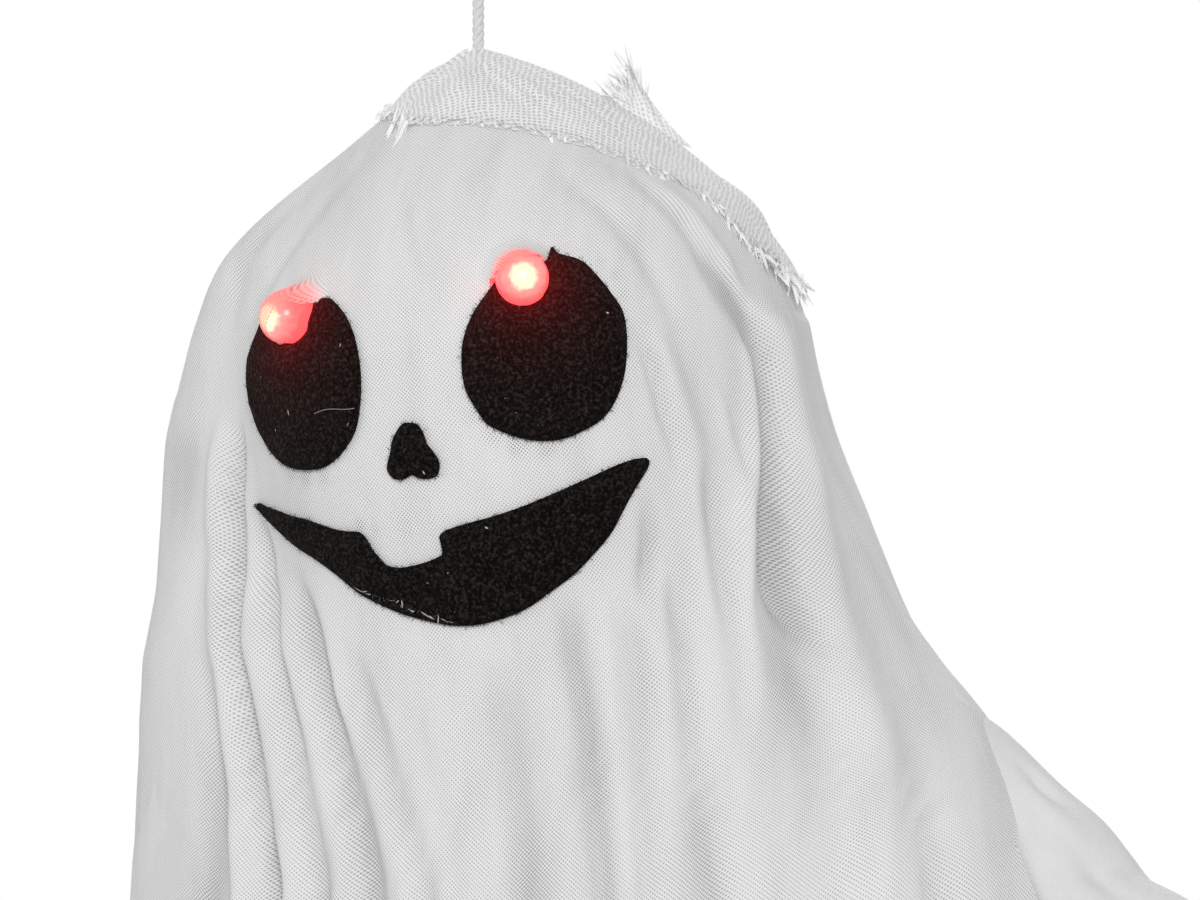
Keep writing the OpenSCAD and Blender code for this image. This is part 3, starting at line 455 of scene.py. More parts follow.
def gauze_finish(name, color, openness):
    """Knitted gauze with painted shade in its pores and folds, dark where felt shows through, and a painted red glow
    of lamp light where it lies on a lit lamp.
    """
    mat, tree, shader = new_material(name)
    hollow = read_value(tree, "hollow")
    wider = add_math(tree, "MULTIPLY_ADD", hollow, 0.22, openness)
    found = use_group(tree, GAUZE, Vector=coordinates(tree, "UV"), Open=wider)
    tone = add_mix(tree, found["Patch"], shaded(color, 0.95), color)
    # Painted shade: the pores are darkened as if the dim space behind showed through them, more in the folds and less
    # where the gauze is stretched over a lamp.
    deep = add_math(tree, "MULTIPLY", found["Pore"], add_math(tree, "MULTIPLY_ADD", hollow, 0.3, 0.66))
    deep = add_math(tree, "MULTIPLY", deep, add_range(tree, read_value(tree, "stretched"), 0.0, 1.0, 1.0, 0.15))
    tone = add_mix(tree, deep, tone, shaded(color, 0.47))
    # Painted shade in the folds: the gauze darkens with the depth of its fold.
    tone = add_mix(tree, add_math(tree, "MULTIPLY", hollow, 0.3), tone, shaded(color, 0.45))
    near = add_math(tree, "MULTIPLY", read_value(tree, "felt_near"), found["Pore"])
    tone = add_mix(tree, near, tone, (0.02, 0.02, 0.02))
    alpha = add_math(tree, "MAXIMUM", add_range(tree, found["Pore"], 0.0, 1.0, 1.0, 0.84, soft=False), near)
    # Painted glow: the lamps' red light on the gauze over them, as a red tint and an emission with a pale core; its
    # pores also open there.
    lit = read_value(tree, "lamp_near")
    clear = add_math(tree, "MULTIPLY", add_math(tree, "MULTIPLY", lit, found["Pore"]), 0.85)
    painted_glow = add_mix(tree, read_value(tree, "lamp_core"), (0.62, 0.14, 0.125), (1.0, 0.42, 0.26))
    feed(tree, shader, Base_Color=add_mix(tree, lit, tone, (0.62, 0.2, 0.18)),
         Alpha=add_math(tree, "SUBTRACT", alpha, clear), Emission_Color=add_mix(tree, lit, (0.0, 0.0, 0.0), painted_glow),
         Emission_Strength=1.0, Normal=add_bump(tree, found["Height"], 0.35, 0.0002), Roughness=0.9, Sheen_Weight=0.15)
    return mat


# Hanging cord

CORD_ROUTE = [(0, -71), (0, -64), (0, -58), (0, -52), (0, -46), (0, -40), (0.5, -35), (2, -30), (5, -25), (8, -19),
              (10, -13), (9, -7), (6, -2), (2, 1), (-2, 1), (-6, -2), (-9, -7), (-10, -13), (-8, -19), (-5, -25),
              (-2.6, -30), (-2.6, -34)]
# Strand radius and distance from the cord's middle, in the cord and in its knots, and the length of one turn
STRAND_R, STRAND_OUT, KNOT_STRAND_R, KNOT_STRAND_OUT, STRAND_LAY = 0.6, 0.62, 0.62, 0.6, 5.2
# Knots: node, middle, half width and turns
KNOTS = {"loop_knot": ("hang_knot", (-1.0, 0.0, -34.2), 2.2, 3.2),
         "crown_stop_knot": ("stop_knot", (0.0, 0.0, -75.0), 1.9, 2.6)}


def between(p0, p1, p2, p3, t):
    """Points on the smooth curve from p1 to p2 that p0 and p3 lead in and out of."""
    return (2 * p1 + (p2 - p0) * t + (2 * p0 - 5 * p1 + 4 * p2 - p3) * t ** 2
            + (3 * p1 - p0 - 3 * p2 + p3) * t ** 3) / 2


def run_along(path):
    """Distance along a path at each of its points."""
    return np.concatenate([[0], np.cumsum(np.linalg.norm(np.diff(path, axis=0), axis=1))])


def smooth_route(points, step):
    """Evenly spaced points on one smooth curve through the route's points."""
    p = np.asarray(points, float)
    p = np.vstack([2 * p[0] - p[1], p, 2 * p[-1] - p[-2]])
    fine = [between(*p[k - 1:k + 3], t) for k in range(1, len(p) - 2) for t in np.linspace(0, 1, 24, endpoint=False)]
    fine = np.array(fine + [p[-2]])
    reach = run_along(fine)
    count = max(4, int(round(reach[-1] / step)) + 1)
    even = np.linspace(0, reach[-1], count)
    return np.stack([np.interp(even, reach, fine[:, k]) for k in range(3)], axis=1), reach[-1]


def frames_along(path):
    """A side and a lift direction at each point, turning as little as possible."""
    ahead = np.gradient(path, axis=0)
    ahead /= np.linalg.norm(ahead, axis=1)[:, None]
    side = np.zeros_like(path)
    start = np.cross(ahead[0], [0.3, 1.0, 0.2])
    side[0] = start / np.linalg.norm(start)
    for k in range(1, len(path)):
        s = side[k - 1] - ahead[k] * np.dot(side[k - 1], ahead[k])
        side[k] = s / np.linalg.norm(s)
    return side, np.cross(ahead, side)


def tube(path, radius, sides=8, start_index=0):
    """Closed tube round a path: points and faces."""
    side, lift = frames_along(path)
    radius = np.broadcast_to(np.asarray(radius, float), (len(path),))
    angle = np.linspace(0, 2 * math.pi, sides, endpoint=False)
    ring = np.cos(angle)[None, :, None] * side[:, None, :] + np.sin(angle)[None, :, None] * lift[:, None, :]
    points = (path[:, None, :] + radius[:, None, None] * ring).reshape(-1, 3)
    rows = len(path)
    faces = [(start_index + i * sides + j, start_index + i * sides + (j + 1) % sides,
              start_index + (i + 1) * sides + (j + 1) % sides, start_index + (i + 1) * sides + j)
             for i in range(rows - 1) for j in range(sides)]
    faces.append(tuple(start_index + j for j in reversed(range(sides))))
    faces.append(tuple(start_index + (rows - 1) * sides + j for j in range(sides)))
    return points, faces


def tubes(name, paths, radii, sides=8):
    points, faces, count = [], [], 0
    for path, radius in zip(paths, radii):
        p, f = tube(path, radius, sides, count)
        points.append(p)
        faces += f
        count += len(p)
    return add_mesh(name, np.vstack(points), faces)


def twisted(path, width, strands, lay):
    """Helical strand paths of a laid cord."""
    side, lift = frames_along(path)
    run, out = run_along(path), []
    for k in range(strands):
        a = 2 * math.pi * (run / lay + k / strands)
        out.append(path + width * (np.cos(a)[:, None] * side + np.sin(a)[:, None] * lift))
    return out


def cord_finish():
    mat, tree, shader = new_material("twisted_cotton")
    spot = coordinates(tree)
    fibre = tree.nodes.new("ShaderNodeTexWave")
    fibre.wave_type, fibre.bands_direction = "BANDS", "DIAGONAL"
    feed(tree, fibre, Vector=spot, Scale=900.0, Distortion=6.0)
    feed(tree, shader, Base_Color=add_mix(tree, add_noise(tree, spot, 700.0), (0.66, 0.66, 0.65), (0.84, 0.84, 0.83)),
         Normal=add_bump(tree, fibre.outputs["Fac"], 0.4, 0.0002), Roughness=0.85, Sheen_Weight=0.2)
    return mat


def make_knot(name, middle, size, turns):
    """A few turns of cord, fuller in the middle."""
    t = np.linspace(0, 1, 90)
    a = 2 * math.pi * turns * t
    swell = size * (0.75 + 0.25 * np.sin(math.pi * t))
    coil = np.stack([swell * np.cos(a), swell * np.sin(a), 2.2 * (2 * t - 1) + 0.5 * np.sin(2 * a)], axis=1)
    return tubes(name, twisted(coil + np.array(middle), KNOT_STRAND_OUT, 3, STRAND_LAY), [KNOT_STRAND_R] * 3, 8)


def hanging_cord(cotton):
    """Three-strand cord from the stop knot up through the crown to its loop, with its two knots."""
    path, length = smooth_route([(x, 0.0, z) for x, z in CORD_ROUTE], 0.35)
    cord = dress(tubes("hanging_cord", twisted(path, STRAND_OUT, 3, STRAND_LAY), [STRAND_R] * 3, 10), cotton)
    for name, (node, *form) in KNOTS.items():
        knot = dress(make_knot(name, *form), cotton)
        carry("head", "cord", knot)
        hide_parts(node)
    carry("head", "cord", cord)
    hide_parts("hang_cord")


# Skirt

# Radius at the hoop and what the hem adds; height and number of the large and the slow folds
SKIRT_R, SKIRT_FLARE = 59.6, 80.0
LARGE_H, LARGE_COUNT, SLOW_H, SLOW_COUNT = 13.0, 9, 5.0, 5


def skirt_shape(phi, w):
    """Distance of the skirt from its axis, by direction in degrees and share of its length."""
    rng = np.random.RandomState(SEED + 3)
    gather, slow = ridges(rng, 360.0, 2.6, 5.2), wander(rng, 40.0)
    warp = phi + 3.5 * slow(phi, 60 * w) * smooth(w * 2)
    deep = LARGE_H * smooth(1.2 * w) * np.cos(np.radians(LARGE_COUNT * warp))
    deep = deep + SLOW_H * smooth(w) * np.cos(np.radians(SLOW_COUNT * phi))
    small = (1.1 + 1.6 * smooth(w * 1.5)) * smooth(w * 18) * gather(warp) * (1 - 0.45 * smooth(w * 1.4))
    return SKIRT_R + SKIRT_FLARE * w ** 1.1 + deep + small


def skirt_points(rows, cols):
    w = np.linspace(0, 1, rows)[:, None] ** 1.15
    phi = np.linspace(-180, 180, cols, endpoint=False)[None, :]
    r = skirt_shape(phi + 0 * w, w + 0 * phi)
    z = SKIRT_TOP + (SKIRT_HEM - SKIRT_TOP) * w + 0 * phi
    a = np.radians(phi)
    return np.stack([NECK_X + r * np.cos(a), r * np.sin(a), z], axis=-1)


# Veil

# Distance from the axis by depth below the head's middle, at a few azimuths from the front
VEIL_DEPTHS = [-25, -12, 0, 16, 30, 46, 60, 72, 85, 105, 150, 200, 351]
VEIL_WIDTHS = {
    -140: [56, 59, 61, 63, 65, 68, 71, 74, 77, 80, 84, 88, 105],
    -90: [58, 60.4, 66.3, 72.4, 76, 80.5, 84.8, 87.4, 89.7, 92, 95, 98, 108],
    -69: [58, 60.4, 65.9, 70.6, 73.1, 76.5, 81.3, 83, 83.4, 84, 86, 91, 104],
    -44: [53, 56.8, 58.4, 59.4, 60.5, 62, 64, 66, 69, 73, 78, 83, 102],
    0: [53, 56.6, 57.9, 57.6, 56.4, 54.8, 54.2, 55.5, 58, 63, 69, 75, 98],
    44: [53, 56.8, 58.2, 58.8, 59.2, 60, 61.5, 64, 67, 72, 78, 83, 102],
    77: [53.5, 57.4, 59.2, 61, 63, 68, 77, 86, 95, 105, 109, 112, 116],
    90: [53.8, 57.8, 59.8, 62.5, 66.5, 72, 81, 90.5, 99, 108, 111, 113, 116],
    104: [54, 58, 60.2, 63.6, 67.5, 71, 74.5, 81, 88, 96, 101, 105, 114],
    140: [53.5, 58, 60.5, 63, 66, 70, 75, 79, 82, 85, 87, 90, 105],
    180: [53.5, 57.5, 59.5, 60.5, 61.5, 63, 64, 65.5, 67, 69, 74, 80, 102],
}
# Folds: line of (azimuth, depth), half width and height in millimetres
VEIL_FOLDS = [
    ([(66, -20), (69, -14), (72, -7), (75, 1), (75, 9), (74, 18), (72, 26), (71, 33), (68, 41),
     (67, 48)], 2.6, -6.5),
    ([(73, 28), (68, 41), (66, 49), (63, 61), (62, 75), (61, 88), (60, 100)], 5.5, -2.2),
    ([(68, -16), (71, -6), (72, 3), (71, 12), (68, 22), (64, 31), (61, 41), (58, 50), (56, 59),
     (54, 67)], 1.8, 2.2),
    ([(59, 2), (63, 8), (64, 16), (65, 24), (64, 31)], 1.0, 0.7),
    ([(58, 20), (57, 33), (56, 47), (54, 56), (53, 66), (52, 76)], 2.6, -2.0),
    ([(47, -10), (52, 5), (55, 16), (54, 28), (54, 39), (53, 52), (51, 66), (51, 80), (51, 96)], 3.0, 1.6),
    ([(45, -6), (48, 3), (49, 11), (51, 17)], 1.1, -2.0),
    ([(44, 26), (44, 35), (42, 44)], 1.5, -2.2),
    ([(46, 39), (44, 48), (42, 61), (40, 80), (39, 101)], 3.2, 1.4),
    ([(49, 39), (46, 52), (44, 67), (44, 80), (44, 91), (45, 100)], 2.0, -1.8),
    ([(48, 54), (47, 59), (47, 75), (48, 89), (48, 100)], 2.6, 1.2),
    ([(79, -13), (81, -2), (82, 20), (77, 39), (70, 61), (65, 80), (62, 99)], 5.0, 3.4),
    ([(73, 69), (71, 78), (70, 85), (69, 96), (68, 100)], 2.2, -1.8),
    ([(75, 76), (75, 84), (74, 92), (72, 101)], 5.0, 1.2),
    ([(-48, 13), (-52, 27), (-53, 38), (-50, 51), (-46, 63), (-43, 75), (-38, 87), (-33, 98),
     (-31, 103)], 1.5, -4.2),
    ([(-52, 10), (-54, 22), (-55, 32), (-54, 46), (-49, 61), (-46, 80), (-40, 99), (-38, 103)], 2.2, 2.2),
    ([(-54, 58), (-52, 67), (-49, 80), (-44, 95), (-41, 104)], 1.3, -1.6),
    ([(-51, 74), (-48, 86), (-46, 99)], 4.0, -2.0),
    ([(-62, 12), (-62, 20), (-63, 32)], 5.0, -1.2),
    ([(-45, 29), (-46, 33), (-45, 43), (-39, 55), (-36, 66), (-32, 79), (-26, 93), (-22, 102)], 1.8, -2.4),
    ([(-35, 42), (-35, 44), (-31, 54), (-28, 64), (-24, 74), (-19, 84), (-15, 94), (-12, 102)], 2.1, -3.0),
    ([(-49, 38), (-48, 44), (-41, 66), (-34, 84), (-28, 101)], 2.8, 1.6),
    ([(-40, 47), (-38, 53), (-32, 68), (-25, 83), (-18, 97)], 2.4, 1.6),
    ([(-27, 56), (-24, 66), (-19, 77), (-13, 88), (-6, 100)], 1.7, 1.4),
    ([(-17, 60), (-13, 69), (-9, 78), (-4, 88), (1, 100)], 1.3, 0.9),
    ([(-21, 56), (-17, 68), (-12, 80), (-6, 91), (-2, 100)], 1.8, -1.4),
    ([(11, 58), (11, 69), (13, 80), (15, 92), (16, 101)], 4.0, -1.6),
    ([(-4, 62), (0, 76), (5, 91), (8, 101)], 4.5, 1.2),
    ([(20, 61), (20, 78), (23, 96)], 3.5, 1.3),
    ([(27, 44), (26, 57), (27, 69), (28, 87), (29, 101)], 2.4, -2.4),
    ([(34, 43), (31, 65), (32, 87), (33, 101)], 2.2, 1.4),
    ([(39, 46), (37, 61), (36, 80), (36, 100)], 2.0, -1.2),
    ([(50, -40), (58, -33), (64, -24), (67, -16)], 1.6, -1.1),
    ([(35, -37), (47, -27), (52, -16), (54, -5)], 2.0, -0.9),
    ([(60, -37), (66, -29), (72, -20), (73, -11)], 1.6, 1.2),
    ([(-21, -40), (-30, -31), (-38, -21), (-44, -11)], 2.2, -1.1),
    ([(-39, -38), (-52, -29), (-54, -20), (-52, -12)], 2.2, -1.0),
    ([(-13, -42), (-1, -30), (4, -17)], 0.8, -0.7),
]
# How far the panels part in degrees, from what depth and over what depth: over the left arm, at its front and back,
# at the right arm, and towards the hem
SEAM_BACK, SLIT_FRONT, SLIT_BACK = (8.0, 50.0, 14.0), (18.0, 64.0, 30.0), (12.0, 64.0, 16.0)
SLIT_RIGHT, HEM_APART = (9.0, 88.0, 14.0), (6.0, 128.0, 160.0)
# Pleats: their height, and where they come in by depth, and at the back by azimuth
PLEAT_CHIN, PLEAT_HEM, PLEAT_BACK = (0.2, 50.0, 40.0), (1.8, 90.0, 160.0), (1.0, 80.0, 30.0)
# Depth at which the veil lets go of the chin
CHIN_FREE = (1.0, 34.0, 24.0)
FOLD_DEPTH = 1.15
# Half width of the part that clings to the face, and how it lets go, in degrees
FACE_EDGE, FACE_FADE = 40.0, 25.0
# Half width of the closely set columns in degrees, depth of the closely set rows
FINE_EDGE, FINE_DEPTH = 50.6, 66.0
# Degrees up the dome where the temples stand off, how they fade in, and how far out they may stand
TEMPLE_TOP, TEMPLE_FADE, TEMPLE_LOOSE = 46.0, 26.0, 8.8
# What the ghost's right temple adds to the first two
RIGHT_TOP, RIGHT_FADE = 15.0, 4.3
# How much further out they may stand near the head's widest line, and from how many degrees down
BRIM_LOOSE, BRIM_ANGLE = 1.6, 12.0
# Heights below the crown between which the veil is kept off the head
HEAD_ENDS = (-122.0, -1.0)


def veil_columns():
    """Shares across the front and back panels, closer together over the face."""
    side = np.linspace(FINE_EDGE, 90.0, 37)[1:]
    front = np.concatenate([-side[::-1], np.linspace(-FINE_EDGE, FINE_EDGE, 93), side]) / 90.0
    return front, np.linspace(-1, 1, 61)


def veil_levels():
    """Rows as heights on the dome, in degrees, and depths below the head's widest line."""
    over = np.concatenate([np.linspace(86, 34, 12), np.linspace(31.5, 2.0, 14)])
    face = np.arange(0.0, FINE_DEPTH, 2.0)
    fall = FINE_DEPTH + (VEIL_HEM + HEAD_MID[2] - FINE_DEPTH) * np.linspace(0, 1, 44) ** 1.2
    return over, np.concatenate([face, fall])


def veil_reach(depth, left, seam):
    """Half width of a panel in degrees; over the left arm the seam lies further back (seam 1 or -1)."""
    over = seam * eased(depth, *SEAM_BACK)
    parted = np.where(seam > 0, eased(depth, *SLIT_FRONT), eased(depth, *SLIT_BACK))
    right = 90.0 - eased(depth, *SLIT_RIGHT)
    return np.where(left, 90.0 + over - parted, right) - eased(depth, *HEM_APART)


def veil_width(azimuth, depth):
    """Distance from the axis without folds, between the chosen profiles."""
    marks = sorted(VEIL_WIDTHS)
    turns = np.array(marks + [marks[0] + 360], float)
    rings = np.array([np.interp(depth, VEIL_DEPTHS, VEIL_WIDTHS[m]) for m in marks + marks[:1]])
    slope = np.gradient(rings, turns, axis=0)
    at = np.mod(azimuth - turns[0], 360.0) + turns[0]
    k = np.clip(np.searchsorted(turns, at, side="right") - 1, 0, len(marks) - 1)
    h, n = turns[k + 1] - turns[k], np.arange(len(at))
    t = (at - turns[k]) / h
    return ((2 * t ** 3 - 3 * t ** 2 + 1) * rings[k, n] + (t ** 3 - 2 * t ** 2 + t) * h * slope[k, n]
            + (3 * t ** 2 - 2 * t ** 3) * rings[k + 1, n] + (t ** 3 - t ** 2) * h * slope[k + 1, n])


def fold_height(azimuth, depth, radius):
    """What the chosen folds add to the distance from the axis."""
    total = np.zeros_like(azimuth)
    for line, half, height in VEIL_FOLDS:
        line = np.array(line, float)
        start, end = line[0, 1], line[-1, 1]
        fade = smooth((depth - start + 2) / 12) * (1 - smooth((depth - end + 10) / (22 if end < 82 else 150)))
        away = np.radians(azimuth - np.interp(depth, line[:, 1], line[:, 0])) * radius
        wide = half * (1 + 0.003 * np.maximum(0.0, depth - 60))
        total += FOLD_DEPTH * height * fade * np.exp(-(away / wide) ** 2)
    return total


def veil_over(azimuth, angle, folded):
    """One row of the part that lies on the crown, loosened at the temples."""
    phi, t = np.radians(azimuth - 90.0), math.radians(angle)
    up = (HEAD_UP + VEIL_OFF) * math.sin(t) ** (2 / CROWN_POWER)
    r = (HEAD_R + VEIL_OFF) * math.cos(t) ** (2 / CROWN_POWER) + 0 * phi
    skin = leaned(r * np.cos(phi), r * np.sin(phi), up - HEAD_UP + 0 * phi)
    depth = HEAD_MID[2] - skin[:, 2]
    right = np.maximum(0, -np.sin(np.radians(azimuth)))
    stand = smooth((TEMPLE_TOP + RIGHT_TOP * right - angle) / (TEMPLE_FADE + RIGHT_FADE * right))
    free = smooth((np.abs(azimuth) - FACE_EDGE) / FACE_FADE) * stand
    hollow = folded * smooth((62 - angle) / 24) * fold_height(azimuth, depth, r)
    loose = TEMPLE_LOOSE + BRIM_LOOSE * smooth((BRIM_ANGLE - angle) / BRIM_ANGLE)
    out = free * np.clip(veil_width(azimuth, depth) - r, 0, loose) + hollow
    return skin + out[:, None] * np.stack([np.cos(phi), np.sin(phi), 0 * phi], axis=-1), hollow


def veil_row(azimuth, depth, pleat, slow, folded):
    """One row of the hanging part, on the face where it clings to it."""
    phi = np.radians(azimuth - 90.0)
    r = veil_width(azimuth, depth)
    hollow = folded * fold_height(azimuth, depth, r)
    turned = azimuth - 0.2 * np.clip(depth, 0.0, 120.0) * np.cos(np.radians(azimuth)) ** 2
    back = eased(np.abs(azimuth), *PLEAT_BACK)
    grown = eased(depth, *PLEAT_CHIN) + back * smooth(depth / 60) + eased(depth, *PLEAT_HEM)
    r = r + hollow + folded * grown * pleat(turned + 4 * slow(turned, depth))
    axis = HEAD_MID[0] + (NECK_X - HEAD_MID[0]) * smooth(depth / 80)
    free = np.stack([axis + r * np.cos(phi), r * np.sin(phi), HEAD_MID[2] - depth], axis=-1)
    cling = (1 - smooth((np.abs(azimuth) - FACE_EDGE) / FACE_FADE)) * (1 - eased(depth, *CHIN_FREE))
    below = depth - brim_depth(phi)
    level = -HEAD_UP - below / math.cos(LEAN)
    face = head_radius(level, VEIL_OFF) + hollow * smooth((below + 4) / 12)
    skin = leaned(face * np.cos(phi), face * np.sin(phi), level)
    return free + (skin - free) * cling[:, None], hollow


def brim_depth(phi):
    """Depth of the head's widest line, which its lean lifts on one side."""
    return -(HEAD_R + VEIL_OFF) * np.cos(phi) * math.sin(LEAN)


def off_head(points, gap=0.6):
    """Moves points that a fold would carry into the head back out to it."""
    side, y, up = head_frame(points)
    low, top = HEAD_ENDS
    limit = np.where((up > low) & (up < top), head_radius(np.clip(up, low, top), gap), 0)
    push = np.maximum(1, limit / np.maximum(1, np.hypot(side, y)))
    return leaned(side * push, y * push, up)


def veil_grid(middle, shares, seed, folded):
    """One panel's points and the height of its folds; folded is 0 for the cloth before it folds."""
    over, depths = veil_levels()
    rng = np.random.RandomState(seed)
    pleat, slow = ridges(rng, 360.0, 3.6, 7.4), wander(rng, 45.0)
    rows = [veil_over((middle + 180.0 + 90.0 * shares) % 360.0 - 180.0, t, folded) for t in over]
    lean = brim_depth(np.radians(middle + 90.0 * shares - 90.0))
    seam = -1 if abs(middle) > 90 else 1
    left = shares * seam > 0
    for base in depths:
        depth = base + lean * (1 - base / depths[-1])
        azimuth = (middle + 180.0 + veil_reach(depth, left, seam) * shares) % 360.0 - 180.0
        rows.append(veil_row(azimuth, depth, pleat, slow, folded))
    points, hollow = (np.array(part) for part in zip(*rows))
    return off_head(points), hollow


def veil_panel(middle, shares, seed):
    """One panel's points, the flat place of each point, and the height of its folds."""
    points, hollow = veil_grid(middle, shares, seed, 1)
    plain = veil_grid(middle, shares, seed, 0)[0]
    across = np.cumsum(np.linalg.norm(np.diff(plain, axis=1, prepend=plain[:, :1]), axis=2), axis=1)
    across -= across[:, [len(shares) // 2]]
    along = np.cumsum(np.linalg.norm(np.diff(plain, axis=0, prepend=plain[:1]), axis=2), axis=0)
    return points, np.stack([across, along], axis=-1) * MM, hollow


def make_veil():
    """Front and back panel, joined where their edges meet."""
    front, back = veil_columns()
    points, faces, flat, hollows, count = [], [], [], [], 0
    for grid, uv, hollow in (veil_panel(0.0, front, SEED), veil_panel(180.0, back, SEED + 1)):
        rows, cols = grid.shape[:2]
        faces += [tuple(k + count for k in f) for f in grid_faces(rows, cols)]
        points.append(grid.reshape(-1, 3))
        flat.append(uv.reshape(-1, 2))
        hollows.append(hollow.ravel())
        count += rows * cols
    veil = add_mesh("veil", np.vstack(points), faces, np.vstack(flat))
    # Depth of each groove, which the gauze reads to open its pores and to paint shade in the folds.
    put_value(veil, "hollow", np.clip(-np.concatenate(hollows) / 3.0, 0, 1))
    seams = bmesh.new()
    seams.from_mesh(veil.data)
    bmesh.ops.remove_doubles(seams, verts=seams.verts, dist=0.0001)
    seams.to_mesh(veil.data)
    seams.free()
    return finer(veil)


# Strands: fuzz, lint and fray

def strand_tree():
    """Thin bent strands, one on each point, along the point's aim and as long as its size."""
    tree = bpy.data.node_groups.new("strands", "GeometryNodeTree")
    sockets = {"Points": "Geometry", "Thickness": "Float", "Bend": "Float", "Seed": "Int", "Finish": "Material"}
    for label, kind in sockets.items():
        tree.interface.new_socket(label, in_out="INPUT", socket_type="NodeSocket" + kind)
    tree.interface.new_socket("Strands", in_out="OUTPUT", socket_type="NodeSocketGeometry")
    link, new = tree.links.new, tree.nodes.new
    given = new("NodeGroupInput").outputs
    shapes = new("GeometryNodeGeometryToInstance")
    ring = new("GeometryNodeCurvePrimitiveCircle")
    feed(tree, ring, Resolution=3, Radius=1.0)
    for first, second, end in ((0.6, 1.0, 0.9), (-0.8, 0.7, -0.2), (0.2, -1.0, 1.0)):
        line = new("GeometryNodeCurvePrimitiveBezierSegment")
        feed(tree, line, Resolution=5)
        stops = (("Start", 0.0, 0.0), ("Start Handle", first, 0.35), ("End Handle", second, 0.7), ("End", end, 1.0))
        for label, share, height in stops:
            place = new("ShaderNodeCombineXYZ")
            feed(tree, place, X=add_math(tree, "MULTIPLY", given["Bend"], share), Z=height)
            link(place.outputs[0], line.inputs[label])
        solid = new("GeometryNodeCurveToMesh")
        feed(tree, solid, Curve=line.outputs["Curve"], Profile_Curve=ring.outputs["Curve"])
        link(solid.outputs["Mesh"], shapes.inputs["Geometry"])
    aim, size = new("GeometryNodeInputNamedAttribute"), new("GeometryNodeInputNamedAttribute")
    aim.data_type, size.data_type = "FLOAT_VECTOR", "FLOAT"
    aim.inputs["Name"].default_value, size.inputs["Name"].default_value = "aim", "size"
    turn = new("FunctionNodeAlignRotationToVector")
    turn.axis = "Z"
    link(aim.outputs["Attribute"], turn.inputs["Vector"])
    chance = new("FunctionNodeRandomValue")
    chance.data_type = "FLOAT_VECTOR"
    chance.inputs["Max"].default_value = (0.0, 0.0, 2 * math.pi)
    link(given["Seed"], chance.inputs["Seed"])
    roll, spun = new("FunctionNodeEulerToRotation"), new("FunctionNodeRotateRotation")
    spun.rotation_space = "LOCAL"
    link(chance.outputs["Value"], roll.inputs["Euler"])
    feed(tree, spun, Rotation=turn.outputs["Rotation"], Rotate_By=roll.outputs["Rotation"])
    scale = new("ShaderNodeCombineXYZ")
    feed(tree, scale, X=given["Thickness"], Y=given["Thickness"], Z=size.outputs["Attribute"])
    laid = new("GeometryNodeInstanceOnPoints")
    feed(tree, laid, Pick_Instance=True, Points=given["Points"], Instance=shapes.outputs["Instances"],
         Rotation=spun.outputs["Rotation"], Scale=scale.outputs[0])
    real, painted = new("GeometryNodeRealizeInstances"), new("GeometryNodeSetMaterial")
    flat = new("GeometryNodeSetShadeSmooth")
    feed(tree, real, Geometry=laid.outputs["Instances"])
    feed(tree, flat, Geometry=real.outputs["Geometry"], Shade_Smooth=False)
    feed(tree, painted, Geometry=flat.outputs["Geometry"], Material=given["Finish"])
    link(painted.outputs["Geometry"], new("NodeGroupOutput").inputs["Strands"])
    return tree


STRANDS = strand_tree()
# Thickness and bend of the felt's fibres, lint, loose yarns and frayed hems
FUZZ, LINT, YARN, HEM_YARN = (0.012, 7.0), (0.01, 34.0), (0.05, 11.0), (0.08, 7.0)


def strands(name, roots, aims, sizes, thick, bend, finish):
    """A piece of many thin strands, in millimetres."""
    obj = add_mesh(name, roots, [])
    layer = obj.data.attributes.new("aim", "FLOAT_VECTOR", "POINT")
    layer.data.foreach_set("vector", np.asarray(aims, np.float32).ravel())
    put_value(obj, "size", np.asarray(sizes) * MM)
    mod = obj.modifiers.new("strands", "NODES")
    mod.node_group = STRANDS
    values = {"Thickness": thick * MM, "Bend": float(bend), "Seed": SEED, "Finish": finish}
    for item in STRANDS.interface.items_tree:
        if item.name in values:
            mod[item.identifier] = values[item.name]
    return settle(obj)


def unit(v):
    v = np.asarray(v, float)
    return v / np.maximum(1e-9, np.linalg.norm(v, axis=-1))[..., None]


# Felt face

FACE_R = 58.0
NOTCH_R = LAMP_R + 0.15
# Spacing of a patch's outline and inner points, room between them, width of its rounded edge and its lift
EDGE_STEP, FELT_STEP, FELT_ROOM, FELT_ROUND, FELT_UP = 0.7, 1.5, 0.8, 1.1, 0.35
EYE_LEFT = [
    (22.5, 13.4), (17.5, 8.7), (14.5, 4.9), (12.6, 0.6), (11.8, -3.7), (11.9, -8.3), (13.4, -12.3), (15.1, -15.4),
    (18.1, -17.5), (21.7, -19.2), (25.5, -20.0), (29.3, -19.9), (33.2, -18.7), (36.5, -17.1), (39.2, -14.2),
    (41.2, -10.6), (42.4, -6.9), (43.2, -1.8), (43.1, 2.8), (41.7, 6.3), (40.4, 9.0), (38.4, 12.3), (36.7, 13.8),
    (34.8, 14.6), (33.0, 15.4), (32.2, 16.8), (30.5, 14.2), (27.0, 13.4)]
EYE_RIGHT = [
    (-33.4, 14.2), (-36.2, 13.0), (-38.1, 11.6), (-39.0, 9.6), (-40.7, 6.6), (-41.4, 2.5), (-41.2, -2.8),
    (-39.8, -7.3), (-37.9, -10.4), (-34.8, -14.1), (-30.7, -17.0), (-25.7, -18.5), (-20.9, -18.8), (-17.2, -17.7),
    (-13.8, -15.5), (-11.3, -12.7), (-9.8, -9.0), (-8.8, -4.6), (-8.5, 0.5), (-9.5, 5.2), (-11.7, 9.2),
    (-14.8, 12.2), (-16.8, 13.4), (-19.7, 13.6), (-23.0, 13.5), (-28.6, 14.0)]
